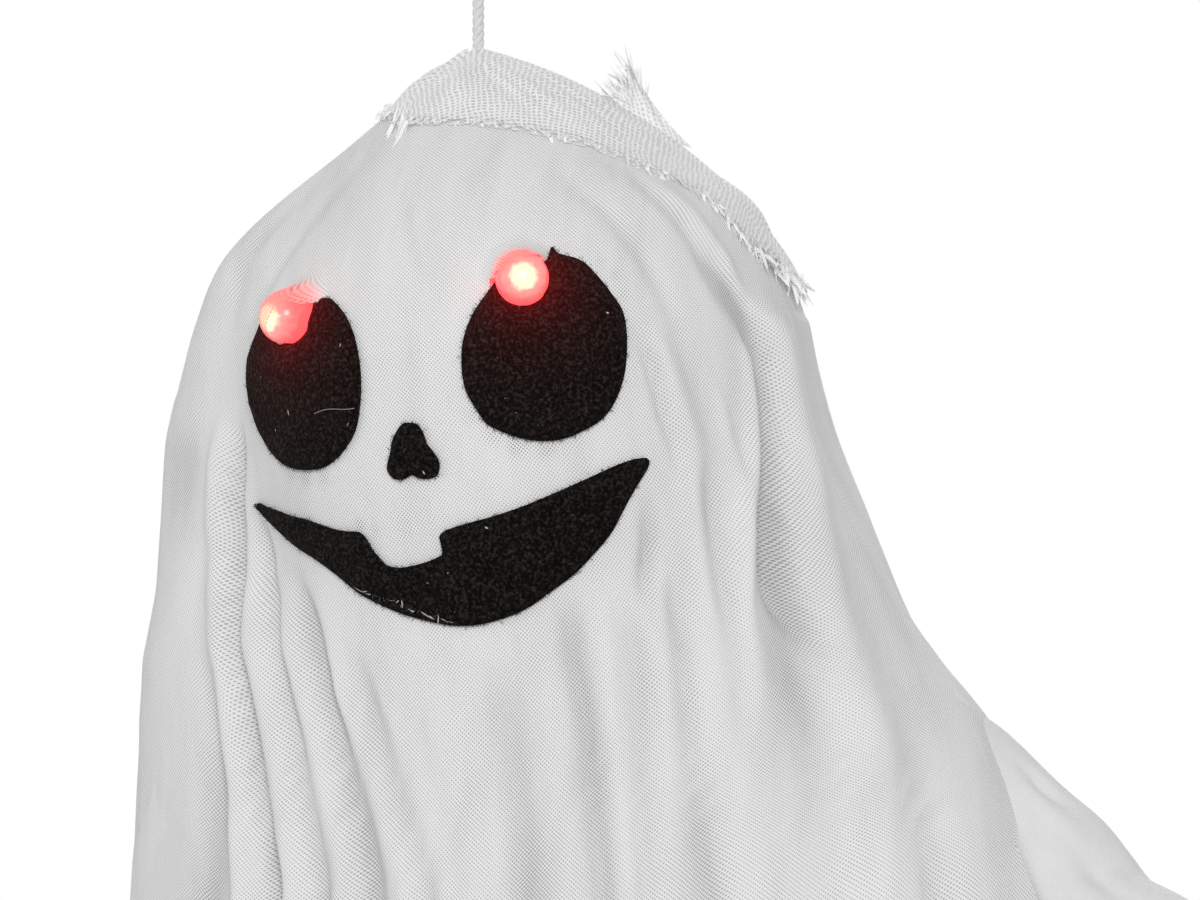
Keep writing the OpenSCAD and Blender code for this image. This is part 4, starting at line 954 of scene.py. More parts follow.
NOSE = [
    (0.4, -13.0), (1.8, -13.6), (2.7, -15.3), (3.1, -17.3), (4.5, -19.7), (5.0, -21.4), (4.5, -23.3), (3.1, -24.0),
    (1.1, -23.8), (-0.8, -22.8), (-2.4, -23.4), (-4.1, -23.2), (-5.2, -22.0), (-5.4, -20.6), (-4.3, -18.1),
    (-3.4, -15.7), (-1.8, -13.7), (-0.9, -13.0)]
MOUTH = [
    (-45.6, -23.6), (-44.5, -22.9), (-42.6, -23.6), (-37.3, -25.1), (-32.6, -26.6), (-27.5, -28.0), (-22.1, -30.1),
    (-17.9, -31.3), (-14.6, -31.9), (-13.3, -33.2), (-12.3, -35.6), (-10.9, -37.7), (-9.7, -39.0), (-7.1, -39.7),
    (-4.1, -39.7), (-1.1, -39.4), (1.6, -38.8), (2.7, -38.2), (2.8, -36.5), (2.8, -34.9), (4.4, -34.0), (8.6, -33.3),
    (14.0, -32.6), (20.1, -31.4), (26.2, -29.7), (32.2, -27.9), (37.7, -26.2), (41.2, -25.4), (43.6, -25.3),
    (44.6, -25.7), (44.4, -27.0), (42.9, -29.0), (40.5, -32.0), (38.1, -35.5), (35.8, -38.7), (32.1, -42.1),
    (27.6, -45.5), (22.4, -48.3), (18.1, -50.4), (13.7, -51.7), (9.5, -52.3), (5.9, -52.4), (1.6, -51.8),
    (-3.3, -50.3), (-8.3, -48.4), (-13.5, -45.8), (-17.9, -43.1), (-22.3, -39.3), (-27.1, -35.8), (-32.6, -32.6),
    (-37.7, -29.1), (-42.2, -26.0)]
# Patches: outline, side of the lamp that notches it and number of fibres
PATCHES = {"eye_patch_left": (EYE_LEFT, 1, 700), "eye_patch_right": (EYE_RIGHT, -1, 700),
           "nose_patch": (NOSE, 0, 200), "mouth_patch": (MOUTH, 0, 1000)}
# Stray threads on the felt: azimuths from and to, points, height, sway, its reach and lift off the felt
THREADS = {"stray_thread": (-19.5, -10.0, 20, -8.4, 0.35, 5, 0.55),
           "stray_curl": (-44.6, -42.4, 14, -23.4, -0.5, 4, 0.6)}
THREAD_R = 0.05
# Places where dark felt shows through the gauze: azimuth, height, reach in millimetres and strength
FELT_SHOWS = [(12.6, -13.5, 3.2, 0.7), (15.6, -17.6, 3.4, 0.8), (20.0, -20.4, 3.2, 0.7), (25.5, -21.6, 2.6, 0.5),
              (-26.0, -20.2, 2.8, 0.6), (-21.0, -20.6, 2.8, 0.6), (-30.5, -18.8, 2.4, 0.4), (-14.2, -30.6, 2.2, 0.8),
              (-11.4, -32.2, 2.4, 0.5), (-4.0, -31.8, 5.0, 0.22), (4.6, -31.6, 4.0, 0.18), (44.6, 6.0, 2.2, 0.3),
              (43.8, 10.0, 2.2, 0.35), (41.8, 13.0, 2.2, 0.3), (-38.8, 13.4, 2.4, 0.35)]


def tilted(x, y, z):
    """Direction in the head's frame to the shared frame."""
    return leaned(x, y, z) + np.array([0, 0, CROWN_DROP])


def closed_curve(points, step):
    """Evenly spaced points on one smooth closed curve."""
    p1 = np.asarray(points, float)
    p0, p2, p3 = np.roll(p1, 1, axis=0), np.roll(p1, -1, axis=0), np.roll(p1, -2, axis=0)
    t = np.linspace(0, 1, 12, endpoint=False)[None, :, None]
    fine = between(*(p[:, None, :] for p in (p0, p1, p2, p3)), t).reshape(-1, 2)
    fine = np.vstack([fine, fine[:1]])
    run = run_along(fine)
    even = np.linspace(0, run[-1], int(run[-1] / step) + 1)[:-1]
    return np.stack([np.interp(even, run, fine[:, k]) for k in range(2)], axis=1)


def inside(spots, edge):
    """Which spots lie within a closed outline."""
    a, b = edge, np.roll(edge, -1, axis=0)
    x, y = spots[:, :1], spots[:, 1:]
    crosses = (a[:, 1] > y) != (b[:, 1] > y)
    at = a[:, 0] + (y - a[:, 1]) * (b[:, 0] - a[:, 0]) / np.where(b[:, 1] == a[:, 1], 1e-9, b[:, 1] - a[:, 1])
    return (crosses & (x < at)).sum(axis=1) % 2 == 1


def veil_caster(veil):
    """Finds the veil's surface straight out from the head's axis at an azimuth and height."""
    tree = BVHTree.FromPolygons([v.co for v in veil.data.vertices], [f.vertices[:] for f in veil.data.polygons])

    def cast(azimuth, height):
        a = np.radians(azimuth)
        starts = leaned(0 * a, 0 * a, height - HEAD_UP) * MM
        ways = tilted(np.sin(a), -np.cos(a), 0 * a)
        found = [tree.ray_cast(Vector(s), Vector(w))[0] for s, w in zip(starts, ways)]
        found = [s + w * FACE_R * MM if f is None else f for f, s, w in zip(found, starts, ways)]
        return np.array(found) / MM, ways
    return cast


def felt_patch(name, outline, cast, notch=0):
    """One patch of felt laid on the veil, with rounded edges and a round notch under its lamp."""
    edge = closed_curve([(math.radians(a) * FACE_R, h) for a, h in outline], EDGE_STEP)
    if notch:
        middle = np.array([math.radians(notch * LAMP_ANGLE) * FACE_R, LAMP_UP])
        off = edge - middle
        hit = np.hypot(*off.T) < NOTCH_R
        edge[hit, 1] = LAMP_UP - np.sqrt(np.maximum(0, NOTCH_R ** 2 - off[hit, 0] ** 2))
    low, high = edge.min(0), edge.max(0)
    lines = (np.arange(low[k], high[k], FELT_STEP) for k in range(2))
    mesh = np.stack(np.meshgrid(*lines), axis=-1).reshape(-1, 2)
    mesh = mesh[inside(mesh, edge)]
    mesh = mesh[np.linalg.norm(mesh[:, None] - edge[None], axis=2).min(axis=1) > FELT_ROOM]
    spots = np.vstack([edge, mesh])
    found = delaunay_2d_cdt([Vector(p) for p in spots], [], [list(range(len(edge)))], 1, 1e-4)
    flat, faces = np.array([list(p) for p in found[0]]), [tuple(f) for f in found[2]]
    border = np.linalg.norm(flat[:, None] - edge[None], axis=2).min(axis=1)
    base, ways = cast(np.degrees(flat[:, 0] / FACE_R), flat[:, 1])
    crown = 1 - (1 - np.clip(border / FELT_ROUND, 0, 1)) ** 2
    top = base + ways * (FELT_UP + FELT_T * (0.45 + 0.55 * crown))[:, None]
    count = len(flat)
    once = {(f[k], f[(k + 1) % 3]) for f in faces for k in range(3)}
    rim = [(b, a, a + count, b + count) for a, b in once if (b, a) not in once]
    faces = faces + [tuple(k + count for k in reversed(f)) for f in faces] + rim
    patch = add_mesh(name, np.vstack([top, base + 0.2 * ways]), faces, np.vstack([flat, flat]) * MM)
    # Painted light: how strongly the lamps' red light falls on the felt, fading with distance from them.
    glow = np.zeros(count)
    for side in (1, -1):
        start, out = lamp_axes(side)[:2]
        away = np.linalg.norm(top - start - (LAMP_OUT - 2.0) * out, axis=1)
        glow = np.maximum(glow, np.exp(-((away - LAMP_R) / 3.4).clip(0) ** 0.8))
    put_value(patch, "painted_lamp_light", np.concatenate([glow, 0 * glow]))
    return patch, top, ways, border


def felt_finish():
    mat, tree, shader = new_material("black_felt")
    spot = coordinates(tree)
    nap = add_noise(tree, spot, 1500.0, 4.0, 0.7)
    slow = add_noise(tree, spot, 160.0, 3.0, 0.6)
    tone = add_mix(tree, add_range(tree, nap, 0.43, 0.8), (0.0006, 0.0005, 0.0004), (0.052, 0.042, 0.036))
    speck = add_range(tree, add_noise(tree, spot, 2600.0, 1.0), 0.76, 0.82)
    speck = add_math(tree, "MULTIPLY", speck, add_range(tree, slow, 0.45, 0.7))
    tone = add_mix(tree, add_math(tree, "MULTIPLY", speck, 0.35), tone, (0.16, 0.15, 0.14))
    # Painted light: the lamps' red light on the felt, as a red emission.
    lit = add_math(tree, "MULTIPLY", read_value(tree, "painted_lamp_light"), add_range(tree, nap, 0.2, 0.8, 0.6, 1.2))
    feed(tree, shader, Base_Color=tone, Roughness=add_range(tree, slow, 0.3, 0.7, 0.88, 0.98),
         Normal=add_bump(tree, nap, 0.9, 0.0006), Specular_IOR_Level=0.08,
         Emission_Color=add_mix(tree, lit, (0.0, 0.0, 0.0), (0.12, 0.002, 0.003)), Emission_Strength=1.0)
    return mat


def felt_fuzz(name, top, ways, border, count, rng, finish):
    """Short fibres over a patch, more of them leaning out along its edge."""
    near = np.argsort(border)[: max(30, len(border) // 4)]
    pick = np.concatenate([rng.choice(len(top), count // 3), rng.choice(near, count - count // 3)])
    middle = top.mean(axis=0)
    out = unit(top[pick] - middle) * (border[pick] < 0.9)[:, None]
    aims = unit(0.6 * ways[pick] + 0.5 * out + rng.normal(0, 0.5, (count, 3)))
    roots = top[pick] + rng.normal(0, 0.2, (count, 3)) - 0.3 * ways[pick]
    return strands(name, roots, aims, rng.uniform(0.2, 0.42, count), *FUZZ, finish)


def make_face(cast):
    """Felt patches with their fibres, lint and two stray threads."""
    felt, fuzz = felt_finish(), plain_finish("felt_fibre", (0.012, 0.012, 0.012), 0.9, 0.2)
    lint = plain_finish("pale_lint", (0.5, 0.48, 0.45), 0.85, 0.2)
    rng = np.random.RandomState(SEED + 11)
    roots, aims, sizes = [], [], []
    for node, (outline, notch, count) in PATCHES.items():
        patch, top, ways, border = felt_patch("felt_" + node, outline, cast, notch)
        hairs = felt_fuzz("fuzz_" + node, top, ways, border, count, rng, fuzz)
        dress(patch, felt)
        carry("head", "felt", patch, hairs)
        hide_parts(node)
        pick = rng.choice(len(top), max(3, count // 90))
        roots.append(top[pick] + 0.05 * ways[pick])
        aims.append(unit(np.cross(ways[pick], rng.normal(0, 1, (len(pick), 3)))) + 0.15 * ways[pick])
        sizes.append(rng.uniform(0.3, 1.0, len(pick)) ** 1.6 * 0.55)
    low, ways = cast(np.linspace(-17.5, 2, 26), np.linspace(-42.4, -51.2, 26))
    roots.append(low + (FELT_T + 0.3) * ways)
    aims.append(unit(tilted(rng.normal(0.6, 0.5, 26), rng.normal(0, 0.2, 26), rng.normal(-0.2, 0.5, 26))))
    sizes.append(rng.uniform(0.4, 1.4, 26))
    specks = strands("felt_lint", np.vstack(roots), unit(np.vstack(aims)), np.concatenate(sizes), *LINT, lint)
    threads = []
    for name, (start, stop, count, height, sway, reach, lift) in THREADS.items():
        line, ways = cast(np.linspace(start, stop, count), height + sway * np.sin(np.linspace(0, reach, count)))
        threads.append(dress(tubes(name, [line + (FELT_T + lift) * ways], [THREAD_R], 5), lint))
    carry("head", "felt", specks, *threads)


# Eye lamps and the gauze over them

# Lower line of the gauze over each lamp, and how fast it drops towards the picture's left
LIDS = {1: (3.1, 0.25), -1: (-1.0, 1.1)}
# Radius of the gauze over a lamp, width of the slope round it, and how far out it is lit
LID_R, LID_SLOPE, LID_LIT = 5.35, 2.6, {1: 6.4, -1: 7.8}
# Where it is fully lit, radius and edge of the pale core, and width of the lid's lower edge
LIT_FULL, CORE_R, CORE_EDGE, LID_EDGE = 4.8, 3.4, 1.4, 1.8
# What counts as near a lamp: distance from the head's axis and from the lamp's; reach of the cut on each side of it
NEAR_OUT, NEAR_R, CUT_FAR, CUT_NEAR = 25.0, 14.0, 8.0, 6.2


def lamp_axes(side):
    """A lamp's own frame: a point on the head's axis, outwards, across and up."""
    a = math.radians(side * LAMP_ANGLE)
    out, up = tilted(math.sin(a), -math.cos(a), 0.0), tilted(0.0, 0.0, 1.0)
    return leaned(0.0, 0.0, LAMP_UP - HEAD_UP), out, np.cross(out, up), up


def lift_lids(veil):
    """Draws the gauze over the top of each lamp and opens it below."""
    points = points_of(veil)
    gone = np.zeros(len(points), bool)
    lit, core, drawn = np.zeros((3, len(points)))
    for side, (line, slope) in LIDS.items():
        start, out, across, up = lamp_axes(side)
        rel = points - start
        far, high, wide = rel @ out, rel @ up, rel @ across
        away = np.hypot(high, wide)
        near = (far > NEAR_OUT) & (away < NEAR_R)
        low = np.clip(line - slope * wide, -9.0, line + 3.4)
        over = LAMP_OUT + np.sqrt(np.maximum(0, LID_R ** 2 - away ** 2))
        tent = far + (LAMP_OUT + 0.6 - far) * np.clip(1 - (away - LID_R + 0.05) / LID_SLOPE, 0, 1) ** 1.7
        target = np.where(away < LID_R, over, tent)
        rise = np.where(near, np.maximum(0, target - far) * smooth((high - low + LID_EDGE) / LID_EDGE), 0)
        points += rise[:, None] * out
        drawn += rise
        reach = np.where(wide < 0, CUT_FAR, CUT_NEAR)
        gone |= near & (away < reach) & (high < low + 0.5 * np.sin(1.7 * wide))
        # Masks for the painted glow of the lamp's light on the gauze: its pale core and how far the light reaches.
        core = np.maximum(core, np.where(near, smooth((CORE_R - away) / CORE_EDGE), 0))
        lit = np.maximum(lit, np.where(near, smooth((LID_LIT[side] - away) / (LID_LIT[side] - LIT_FULL)), 0))
    put_points(veil, points)
    put_value(veil, "lamp_near", lit)
    put_value(veil, "stretched", smooth(drawn / 1.5))
    put_value(veil, "lamp_core", core)
    cut = bmesh.new()
    cut.from_mesh(veil.data)
    cut.verts.ensure_lookup_table()
    lost = [f for f in cut.faces if all(gone[v.index] for v in f.verts)]
    bmesh.ops.delete(cut, geom=lost, context="FACES")
    cut.to_mesh(veil.data)
    cut.free()


def mark_felt(veil, cast):
    """Where the felt darkens the gauze from behind."""
    points = points_of(veil)
    dark = np.zeros(len(points))
    for azimuth, height, reach, strength in FELT_SHOWS:
        spot = cast(np.array([azimuth]), np.array([height]))[0][0]
        dark = np.maximum(dark, strength * smooth(1 - np.linalg.norm(points - spot, axis=1) / reach))
    put_value(veil, "felt_near", dark)


def lamp_finish(side):
    """Lit red lens: a pale core round the axis that falls to red at the rim."""
    mat, tree, shader = new_material("lit_lens_" + ("left" if side > 0 else "right"))
    start, out, across, up = lamp_axes(side)
    place = tree.nodes.new("ShaderNodeMapping")
    place.vector_type = "TEXTURE"
    turn = Matrix((across, up, np.cross(across, up))).transposed()
    place.inputs["Location"].default_value = Vector((start + LAMP_OUT * out) * MM)
    place.inputs["Rotation"].default_value = turn.to_euler()
    tree.links.new(coordinates(tree), place.inputs["Vector"])
    squares = [add_math(tree, "POWER", way, 2.0) for way in split_axes(tree, place.outputs["Vector"])[:2]]
    wide = add_math(tree, "SQRT", add_math(tree, "ADD", *squares))
    ripple = add_noise(tree, coordinates(tree), 900.0, 2.0)
    wide = add_math(tree, "ADD", wide, add_math(tree, "MULTIPLY", add_math(tree, "SUBTRACT", ripple, 0.5), 0.0016))
    core = add_range(tree, wide, 0.0019, 0.0031, 1.0, 0.0)
    glow = add_mix(tree, add_range(tree, wide, 0.003, 0.0052), (1.0, 0.155, 0.14), (1.0, 0.06, 0.065))
    feed(tree, shader, Base_Color=add_mix(tree, ripple, (0.75, 0.04, 0.04), (0.85, 0.06, 0.05)), Roughness=0.25,
         Emission_Color=add_mix(tree, core, glow, (1.0, 0.5, 0.34)), Emission_Strength=2.0)
    return mat


# Open gauze over the crown

# Edge of the scrap, and the foot of its tuft: azimuth and height above the head's middle
WRAP_EDGE = [(-180, 12), (-158, 18), (-130, 40), (-100, 51), (-60, 52.5), (-30, 51), (-17, 48.3), (10, 45.4),
             (33, 41.5), (53, 36.5), (64, 29.3), (75, 21.8), (82, 13.5), (94, 6), (118, 10), (150, 14), (180, 12)]
TUFT_AT = (108.0, 43.5)
# Where the scrap starts in degrees, and the height and width of its peak round the cord
WRAP_TOP, PEAK_H, PEAK_R = 87.0, 3.2, 9.0
# Loose yarns: azimuths between which they grow, their number, least and greatest length, lift and looseness
FRAY_ZONES = [(-180, 180, 200, 0.4, 1.3, 0.1, 0.3), (70, 118, 180, 0.8, 2.8, 0.06, 0.28),
              (-20, -10, 26, 2.0, 9.0, 0.03, 0.06), (60, 90, 50, 0.8, 2.4, 0.15, 0.25)]
# Number of yarns along the tuft's top and side
TUFT_TOP, TUFT_SIDE = 40, 44


def wrap_point(azimuth, angle, lift):
    """Point over the crown, drawn up towards the cord."""
    phi, t = np.radians(azimuth - 90.0), np.radians(angle)
    r = (HEAD_R + lift) * np.cos(t) ** (2 / CROWN_POWER)
    up = (HEAD_UP + lift) * np.sin(t) ** (2 / CROWN_POWER) - HEAD_UP
    up = up + PEAK_H * np.exp(-r / PEAK_R)
    return leaned(r * np.cos(phi), r * np.sin(phi), up)


def wrap_angle(azimuth):
    edge = np.array(WRAP_EDGE, float)
    height = np.interp(np.mod(azimuth + 180.0, 360.0) - 180.0, edge[:, 0], edge[:, 1])
    return np.degrees(np.arcsin(np.clip(height / (HEAD_UP + WRAP_OFF), 0, 1) ** (CROWN_POWER / 2)))


def over_veil(points, cast, gap):
    """Pushes points out until they lie on the veil."""
    side, y, up = head_frame(points)
    turn, height = np.degrees(np.arctan2(side, -y)).ravel(), (up + HEAD_UP).ravel()
    found, ways = cast(turn, height)
    short = np.sum((found - points.reshape(-1, 3)) * ways, axis=1) + gap
    short = np.where(height < 50, np.maximum(0, short), 0)
    return points + (short[:, None] * ways).reshape(points.shape)


def make_wrap(cast):
    """Scrap of open gauze laid over the crown and the left temple."""
    rng = np.random.RandomState(SEED + 5)
    rows, cols = 46, 240
    gather, creep = ridges(rng, 360.0, 4.0, 11.0), wander(rng, 14.0)
    share, azimuth = closed_grid(rows, cols, -180, 180)
    ragged = 1.2 * creep(2.2 * azimuth, 9.0 + 0 * azimuth)
    angle = WRAP_TOP + (wrap_angle(azimuth) + ragged - WRAP_TOP) * share
    flare = smooth((share - 0.75) / 0.25)
    fringe = smooth((azimuth - 78) / 14) * smooth((122 - azimuth) / 14)
    lift = WRAP_OFF + 0.3 + 0.35 * smooth(share * 1.6) * gather(azimuth + 16 * creep(azimuth, 30 * share))
    lift = lift + 0.4 * creep(3 * azimuth, 120 * share)
    flush = smooth((share - 0.55) / 0.45) * (1 - fringe)
    lift = lift + (VEIL_OFF + 0.4 - lift) * flush + flare * 0.6 * fringe
    points = over_veil(wrap_point(azimuth, angle, np.maximum(VEIL_OFF + 0.3, lift)), cast, 0.35)
    along = np.cumsum(np.linalg.norm(np.diff(points, axis=0, prepend=points[:1]), axis=2), axis=0)
    turn = np.radians(azimuth - 20.0)
    flat = np.stack([along * np.sin(turn), along * np.cos(turn)], axis=-1)
    wrap = add_mesh("crown_gauze", points, grid_faces(rows, cols, closed=True), flat * MM)
    put_value(wrap, "hem", smooth((share.ravel() - 0.9) / 0.1))
    return wrap, points[-1], points[-3], azimuth[0]


def make_tuft():
    """Corner of the open gauze that stands up from the crown, ragged along its top and one side."""
    rng = np.random.RandomState(SEED + 6)
    rows, cols = 18, 60
    share, round_it = closed_grid(rows, cols, 0, 2 * math.pi)
    side, apart = np.cos(round_it), 0.9 * np.sin(round_it)
    azimuth, height = TUFT_AT
    angle = math.degrees(math.asin((height / (HEAD_UP + WRAP_OFF)) ** (CROWN_POWER / 2)))
    root = wrap_point(azimuth, angle, WRAP_OFF)
    up, wide = unit(np.array([-0.3, -0.1, 1.0])), unit(np.array([0.86, 0.33, -0.4]))
    deep = np.cross(up, wide)
    half = 2.0 + 7.6 * (1 - share) ** 1.3
    folds = 0.9 * np.sin(5.0 * side + 2.0 * share) + 0.4 * np.sin(11 * side - 3 * share)
    tall = 10.5 + 2.5 * np.sin(3.0 * side + 1.0) + 0.8 * np.sin(17 * side)
    points = (root + (tall * share - 1.6)[..., None] * up + (half * side)[..., None] * wide
              + (apart + folds * (0.4 + share) - 2.6 * (1 - share) * side ** 2)[..., None] * deep)
    uv = np.stack([side * half + 40 + 0.3 * apart, share * 14 + 3], axis=-1) * MM
    tuft = add_mesh("gauze_tuft", points, grid_faces(rows, cols, closed=True), uv)
    top, edge = points[-1][rng.randint(0, cols, TUFT_TOP)], points[rng.randint(3, rows, TUFT_SIDE), cols // 2]
    aims = np.vstack([up + rng.normal(0, 0.3, (TUFT_TOP, 3)),
                      0.5 * up - 0.8 * wide + rng.normal(0, 0.4, (TUFT_SIDE, 3))])
    return tuft, np.vstack([top, edge]), unit(aims)


def scrim_finish():
    """Loose plain weave with open squares."""
    mat, tree, shader = new_material("open_gauze")
    spot = coordinates(tree, "UV")
    place = split_axes(tree, spot)
    drift = add_math(tree, "MULTIPLY", add_noise(tree, spot, 130.0, 3.0, 0.6), 2.4)
    threads = []
    for axis, pitch in ((0, 0.0012), (1, 0.0011)):
        turns = add_math(tree, "ADD", add_math(tree, "DIVIDE", place[axis], pitch), drift)
        threads.append(add_math(tree, "COSINE", add_math(tree, "MULTIPLY", turns, 2 * math.pi)))
    cloth = add_math(tree, "MAXIMUM", *threads)
    patch = add_noise(tree, spot, 120.0, 3.0, 0.6)
    cover = add_range(tree, cloth, add_range(tree, patch, 0.3, 0.7, -0.45, 0.25), 0.75, 0.6, 1.0)
    fuzz = add_noise(tree, spot, 5200.0, 2.0)
    holes = add_range(tree, add_noise(tree, spot, 700.0, 2.0), 0.42, 0.6)
    worn = add_math(tree, "MULTIPLY", read_value(tree, "hem"), holes)
    feed(tree, shader, Base_Color=add_mix(tree, fuzz, (0.9, 0.9, 0.895), (0.98, 0.98, 0.975)),
         Alpha=add_math(tree, "SUBTRACT", cover, worn), Roughness=0.9, Sheen_Weight=0.2,
         Normal=add_bump(tree, add_math(tree, "ADD", cloth, fuzz), 0.25, 0.0003))
    return mat


def yarn_finish():
    mat, tree, shader = new_material("loose_yarn")
    tone = add_mix(tree, add_noise(tree, coordinates(tree), 800.0), (0.93, 0.93, 0.925), (0.98, 0.98, 0.975))
    feed(tree, shader, Base_Color=tone, Roughness=0.9, Sheen_Weight=0.3)
    return mat


def wrap_fray(edge, inner, azimuth, ends, end_aims, finish):
    """Loose yarns along the scrap's edge, longer in the fringe, the gather and the tuft."""
    rng = np.random.RandomState(SEED + 8)
    roots, aims, sizes = [ends], [end_aims], [rng.uniform(0.8, 3.6, len(ends))]
    for start, stop, count, low, high, lift, loose in FRAY_ZONES:
        pick = rng.choice(np.nonzero((azimuth > start) & (azimuth < stop))[0], count)
        normal = unit(edge[pick] - HEAD_MID)
        down = unit(unit(edge[pick] - inner[pick]) + np.array([0.0, 0.0, -0.7]))
        roots.append(edge[pick] - 0.8 * down + rng.normal(0, 0.35, (count, 3)))
        aims.append(unit(down + lift * normal + rng.normal(0, loose, (count, 3))))
        sizes.append(low + (high - low) * rng.uniform(0, 1, count) ** 2)
    return strands("crown_fray", np.vstack(roots), np.vstack(aims), np.concatenate(sizes), *YARN, finish)


# Sleeves, arm foam and skirt

# Start of a sleeve along the arm, how far it goes past the wire, its radius, what the cuff adds and how far it hangs
SLEEVE_START, CUFF_PAST, SLEEVE_R, CUFF_FLARE, SLEEVE_HANG = 62.0, 16.0, 12.4, 13.5, {1: 17.0, -1: 5.0}
CLOTH_PITCH = 0.00055
# Foam's radius, start, reach past the wire and the bare length at each side of the elbow
FOAM_R, FOAM_START, FOAM_PAST, BARE = 7.9, 24.0, 7.6, 12.0
# Dents and bulges: distance along, angle from the top, half length, half angle, slant and height
SLEEVE_DENTS = [(16, 0, 8.0, 70, 0, -2.4), (54, 0, 8.0, 45, 0, 1.2), (63, -25, 3.2, 38, 9, -1.1),
                (76, -18, 7.5, 50, 9, 3.2), (65, -43, 7.0, 8, 0, -1.5), (42, -20, 5.0, 8, 0, -1.5),
                (46, -34, 7.0, 10, 0, 0.8)]


def sleeve_path(bend, s):
    """Middle of the sleeve in the arm frame, and the turn of its ring, at a distance along it."""
    to_elbow, turn = ELBOW_REACH - SLEEVE_START, math.radians(bend)
    past = np.maximum(0, s - to_elbow)
    x = SLEEVE_START + np.minimum(s, to_elbow) + past * math.cos(turn)
    return x, -past * math.sin(turn), turn * smooth((s - to_elbow + 12) / 24)


def make_sleeve(name, bend, side, seed):
    """Wide sleeve, creased at the elbow, with drag lines down to a ragged cuff."""
    rng = np.random.RandomState(seed)
    rows, cols = 96, 108
    length = ELBOW_REACH - SLEEVE_START + FOREARM + CUFF_PAST
    share, a = closed_grid(rows, cols, 0, 2 * math.pi)
    slow, fine = wander(rng, 0.55, 8), wander(rng, 0.2, 8)
    hem = 1 + 0.012 * slow(2.0 * np.cos(a), 2.0 * np.sin(a)) * smooth((share - 0.8) / 0.2)
    x, z, turn = sleeve_path(bend, share * length * hem)
    base = SLEEVE_R + CUFF_FLARE * share ** 1.6
    hang = np.minimum(base - 8.9, SLEEVE_HANG[side])
    r = base + 1.5 * share * np.cos(5 * a)
    crease = np.exp(-((share * length - 24) / 16) ** 2)
    below = 0.5 - 0.5 * np.cos(a)
    r = r + 1.3 * below * crease * np.sin(share * length / 3.4 + 2.2 * np.sin(a + 0.6) + 1.4 * slow(np.cos(a), share))
    drag = smooth(share * 2.2)
    r = r + 1.5 * drag * slow(np.cos(a) + 1.6 * share, np.sin(a) - 1.1 * share)
    r = r + 0.45 * drag * fine(np.cos(a) + 1.3 * share, np.sin(a))
    for at, turned, long, round_it, slant, height in SLEEVE_DENTS:
        off = np.mod(a - math.radians(turned) + math.pi, 2 * math.pi) - math.pi
        down = (share * length - at - slant * off) / long
        r = r + height * np.exp(-down ** 2 - (off / math.radians(round_it)) ** 2)
    rise = r * np.cos(a) - hang
    spot = on_arms(x + rise * np.sin(turn), z + rise * np.cos(turn), side)
    spot[..., 1] = r * np.sin(a)
    faces = grid_faces(rows, cols, closed=True)
    faces = faces if side < 0 else [tuple(reversed(f)) for f in faces]
    uv = np.stack([a * 20, share * length], axis=-1) * MM
    return add_mesh(name, spot, faces, uv), spot[-1], spot[-3]


def make_foam(name, bend, side):
    """Foam over an arm wire in two stretches, bare at the elbow."""
    turn = math.radians(bend)
    reaches = ((FOAM_START, ELBOW_REACH - BARE, 0.0, 0.0), (BARE, FOREARM + FOAM_PAST, ELBOW_REACH, turn))
    paths, radii = [], []
    for start, stop, origin, way in reaches:
        s = np.linspace(start, stop, 44)
        ends = np.minimum(s - start, stop - s)
        paths.append(on_arms(origin + s * math.cos(way), -s * math.sin(way), side))
        rounded = np.sqrt(np.clip(1 - (1 - np.clip(ends / 5.0, 0, 1)) ** 2, 0.12, 1))
        radii.append(FOAM_R * rounded + 0.18 * np.sin(s * 0.9))
    return tubes(name, paths, radii, 20)


def cloth_finish(name, color):
    """Thin plain-weave cloth."""
    mat, tree, shader = new_material(name)
    spot = coordinates(tree, "UV")
    waves = [add_math(tree, "SINE", add_math(tree, "MULTIPLY", way, 2 * math.pi / CLOTH_PITCH))
             for way in split_axes(tree, spot)[:2]]
    slub = add_noise(tree, spot, 900.0, 4.0, 0.65)
    height = add_math(tree, "MULTIPLY_ADD", add_math(tree, "MULTIPLY", *waves), 0.4, slub)
    slow = add_noise(tree, spot, 60.0, 3.0)
    tone = add_mix(tree, add_range(tree, slow, 0.3, 0.7), shaded(color, 0.95), color)
    tone = add_mix(tree, add_range(tree, slub, 0.35, 0.8, 0.0, 0.5), tone, shaded(color, 0.9))
    feed(tree, shader, Base_Color=tone, Roughness=add_range(tree, slub, 0.2, 0.8, 0.82, 0.95),
         Normal=add_bump(tree, height, 0.35, 0.0003), Sheen_Weight=0.15)
    return mat


def hem_fray(name, edge, inner, count, low, high, finish):
    rng = np.random.RandomState(SEED + 9)
    pick = rng.choice(len(edge), count)
    down = unit(edge[pick] - inner[pick])
    aims = unit(down + rng.normal(0, 0.35, (count, 3)))
    roots = edge[pick] - 0.5 * down + rng.normal(0, 0.3, (count, 3))
    return strands(name, roots, aims, rng.uniform(low, high, count), *HEM_YARN, finish)


def make_skirt():
    rows, cols = 110, 288
    points = skirt_points(rows, cols)
    rng = np.random.RandomState(SEED + 4)
    ragged = wander(rng, 9.0, 9)
    phi = np.linspace(-180, 180, cols, endpoint=False)
    points[..., 2] += 5.0 * np.abs(ragged(2 * phi, 0 * phi))[None, :] * np.linspace(0, 1, rows)[:, None] ** 6
    across = np.radians(phi)[None, :] * 95.0 + np.zeros((rows, 1))
    uv = np.stack([across, -points[..., 2]], axis=-1) * MM
    return add_mesh("skirt", points, grid_faces(rows, cols, closed=True), uv), points[-1], points[-3]


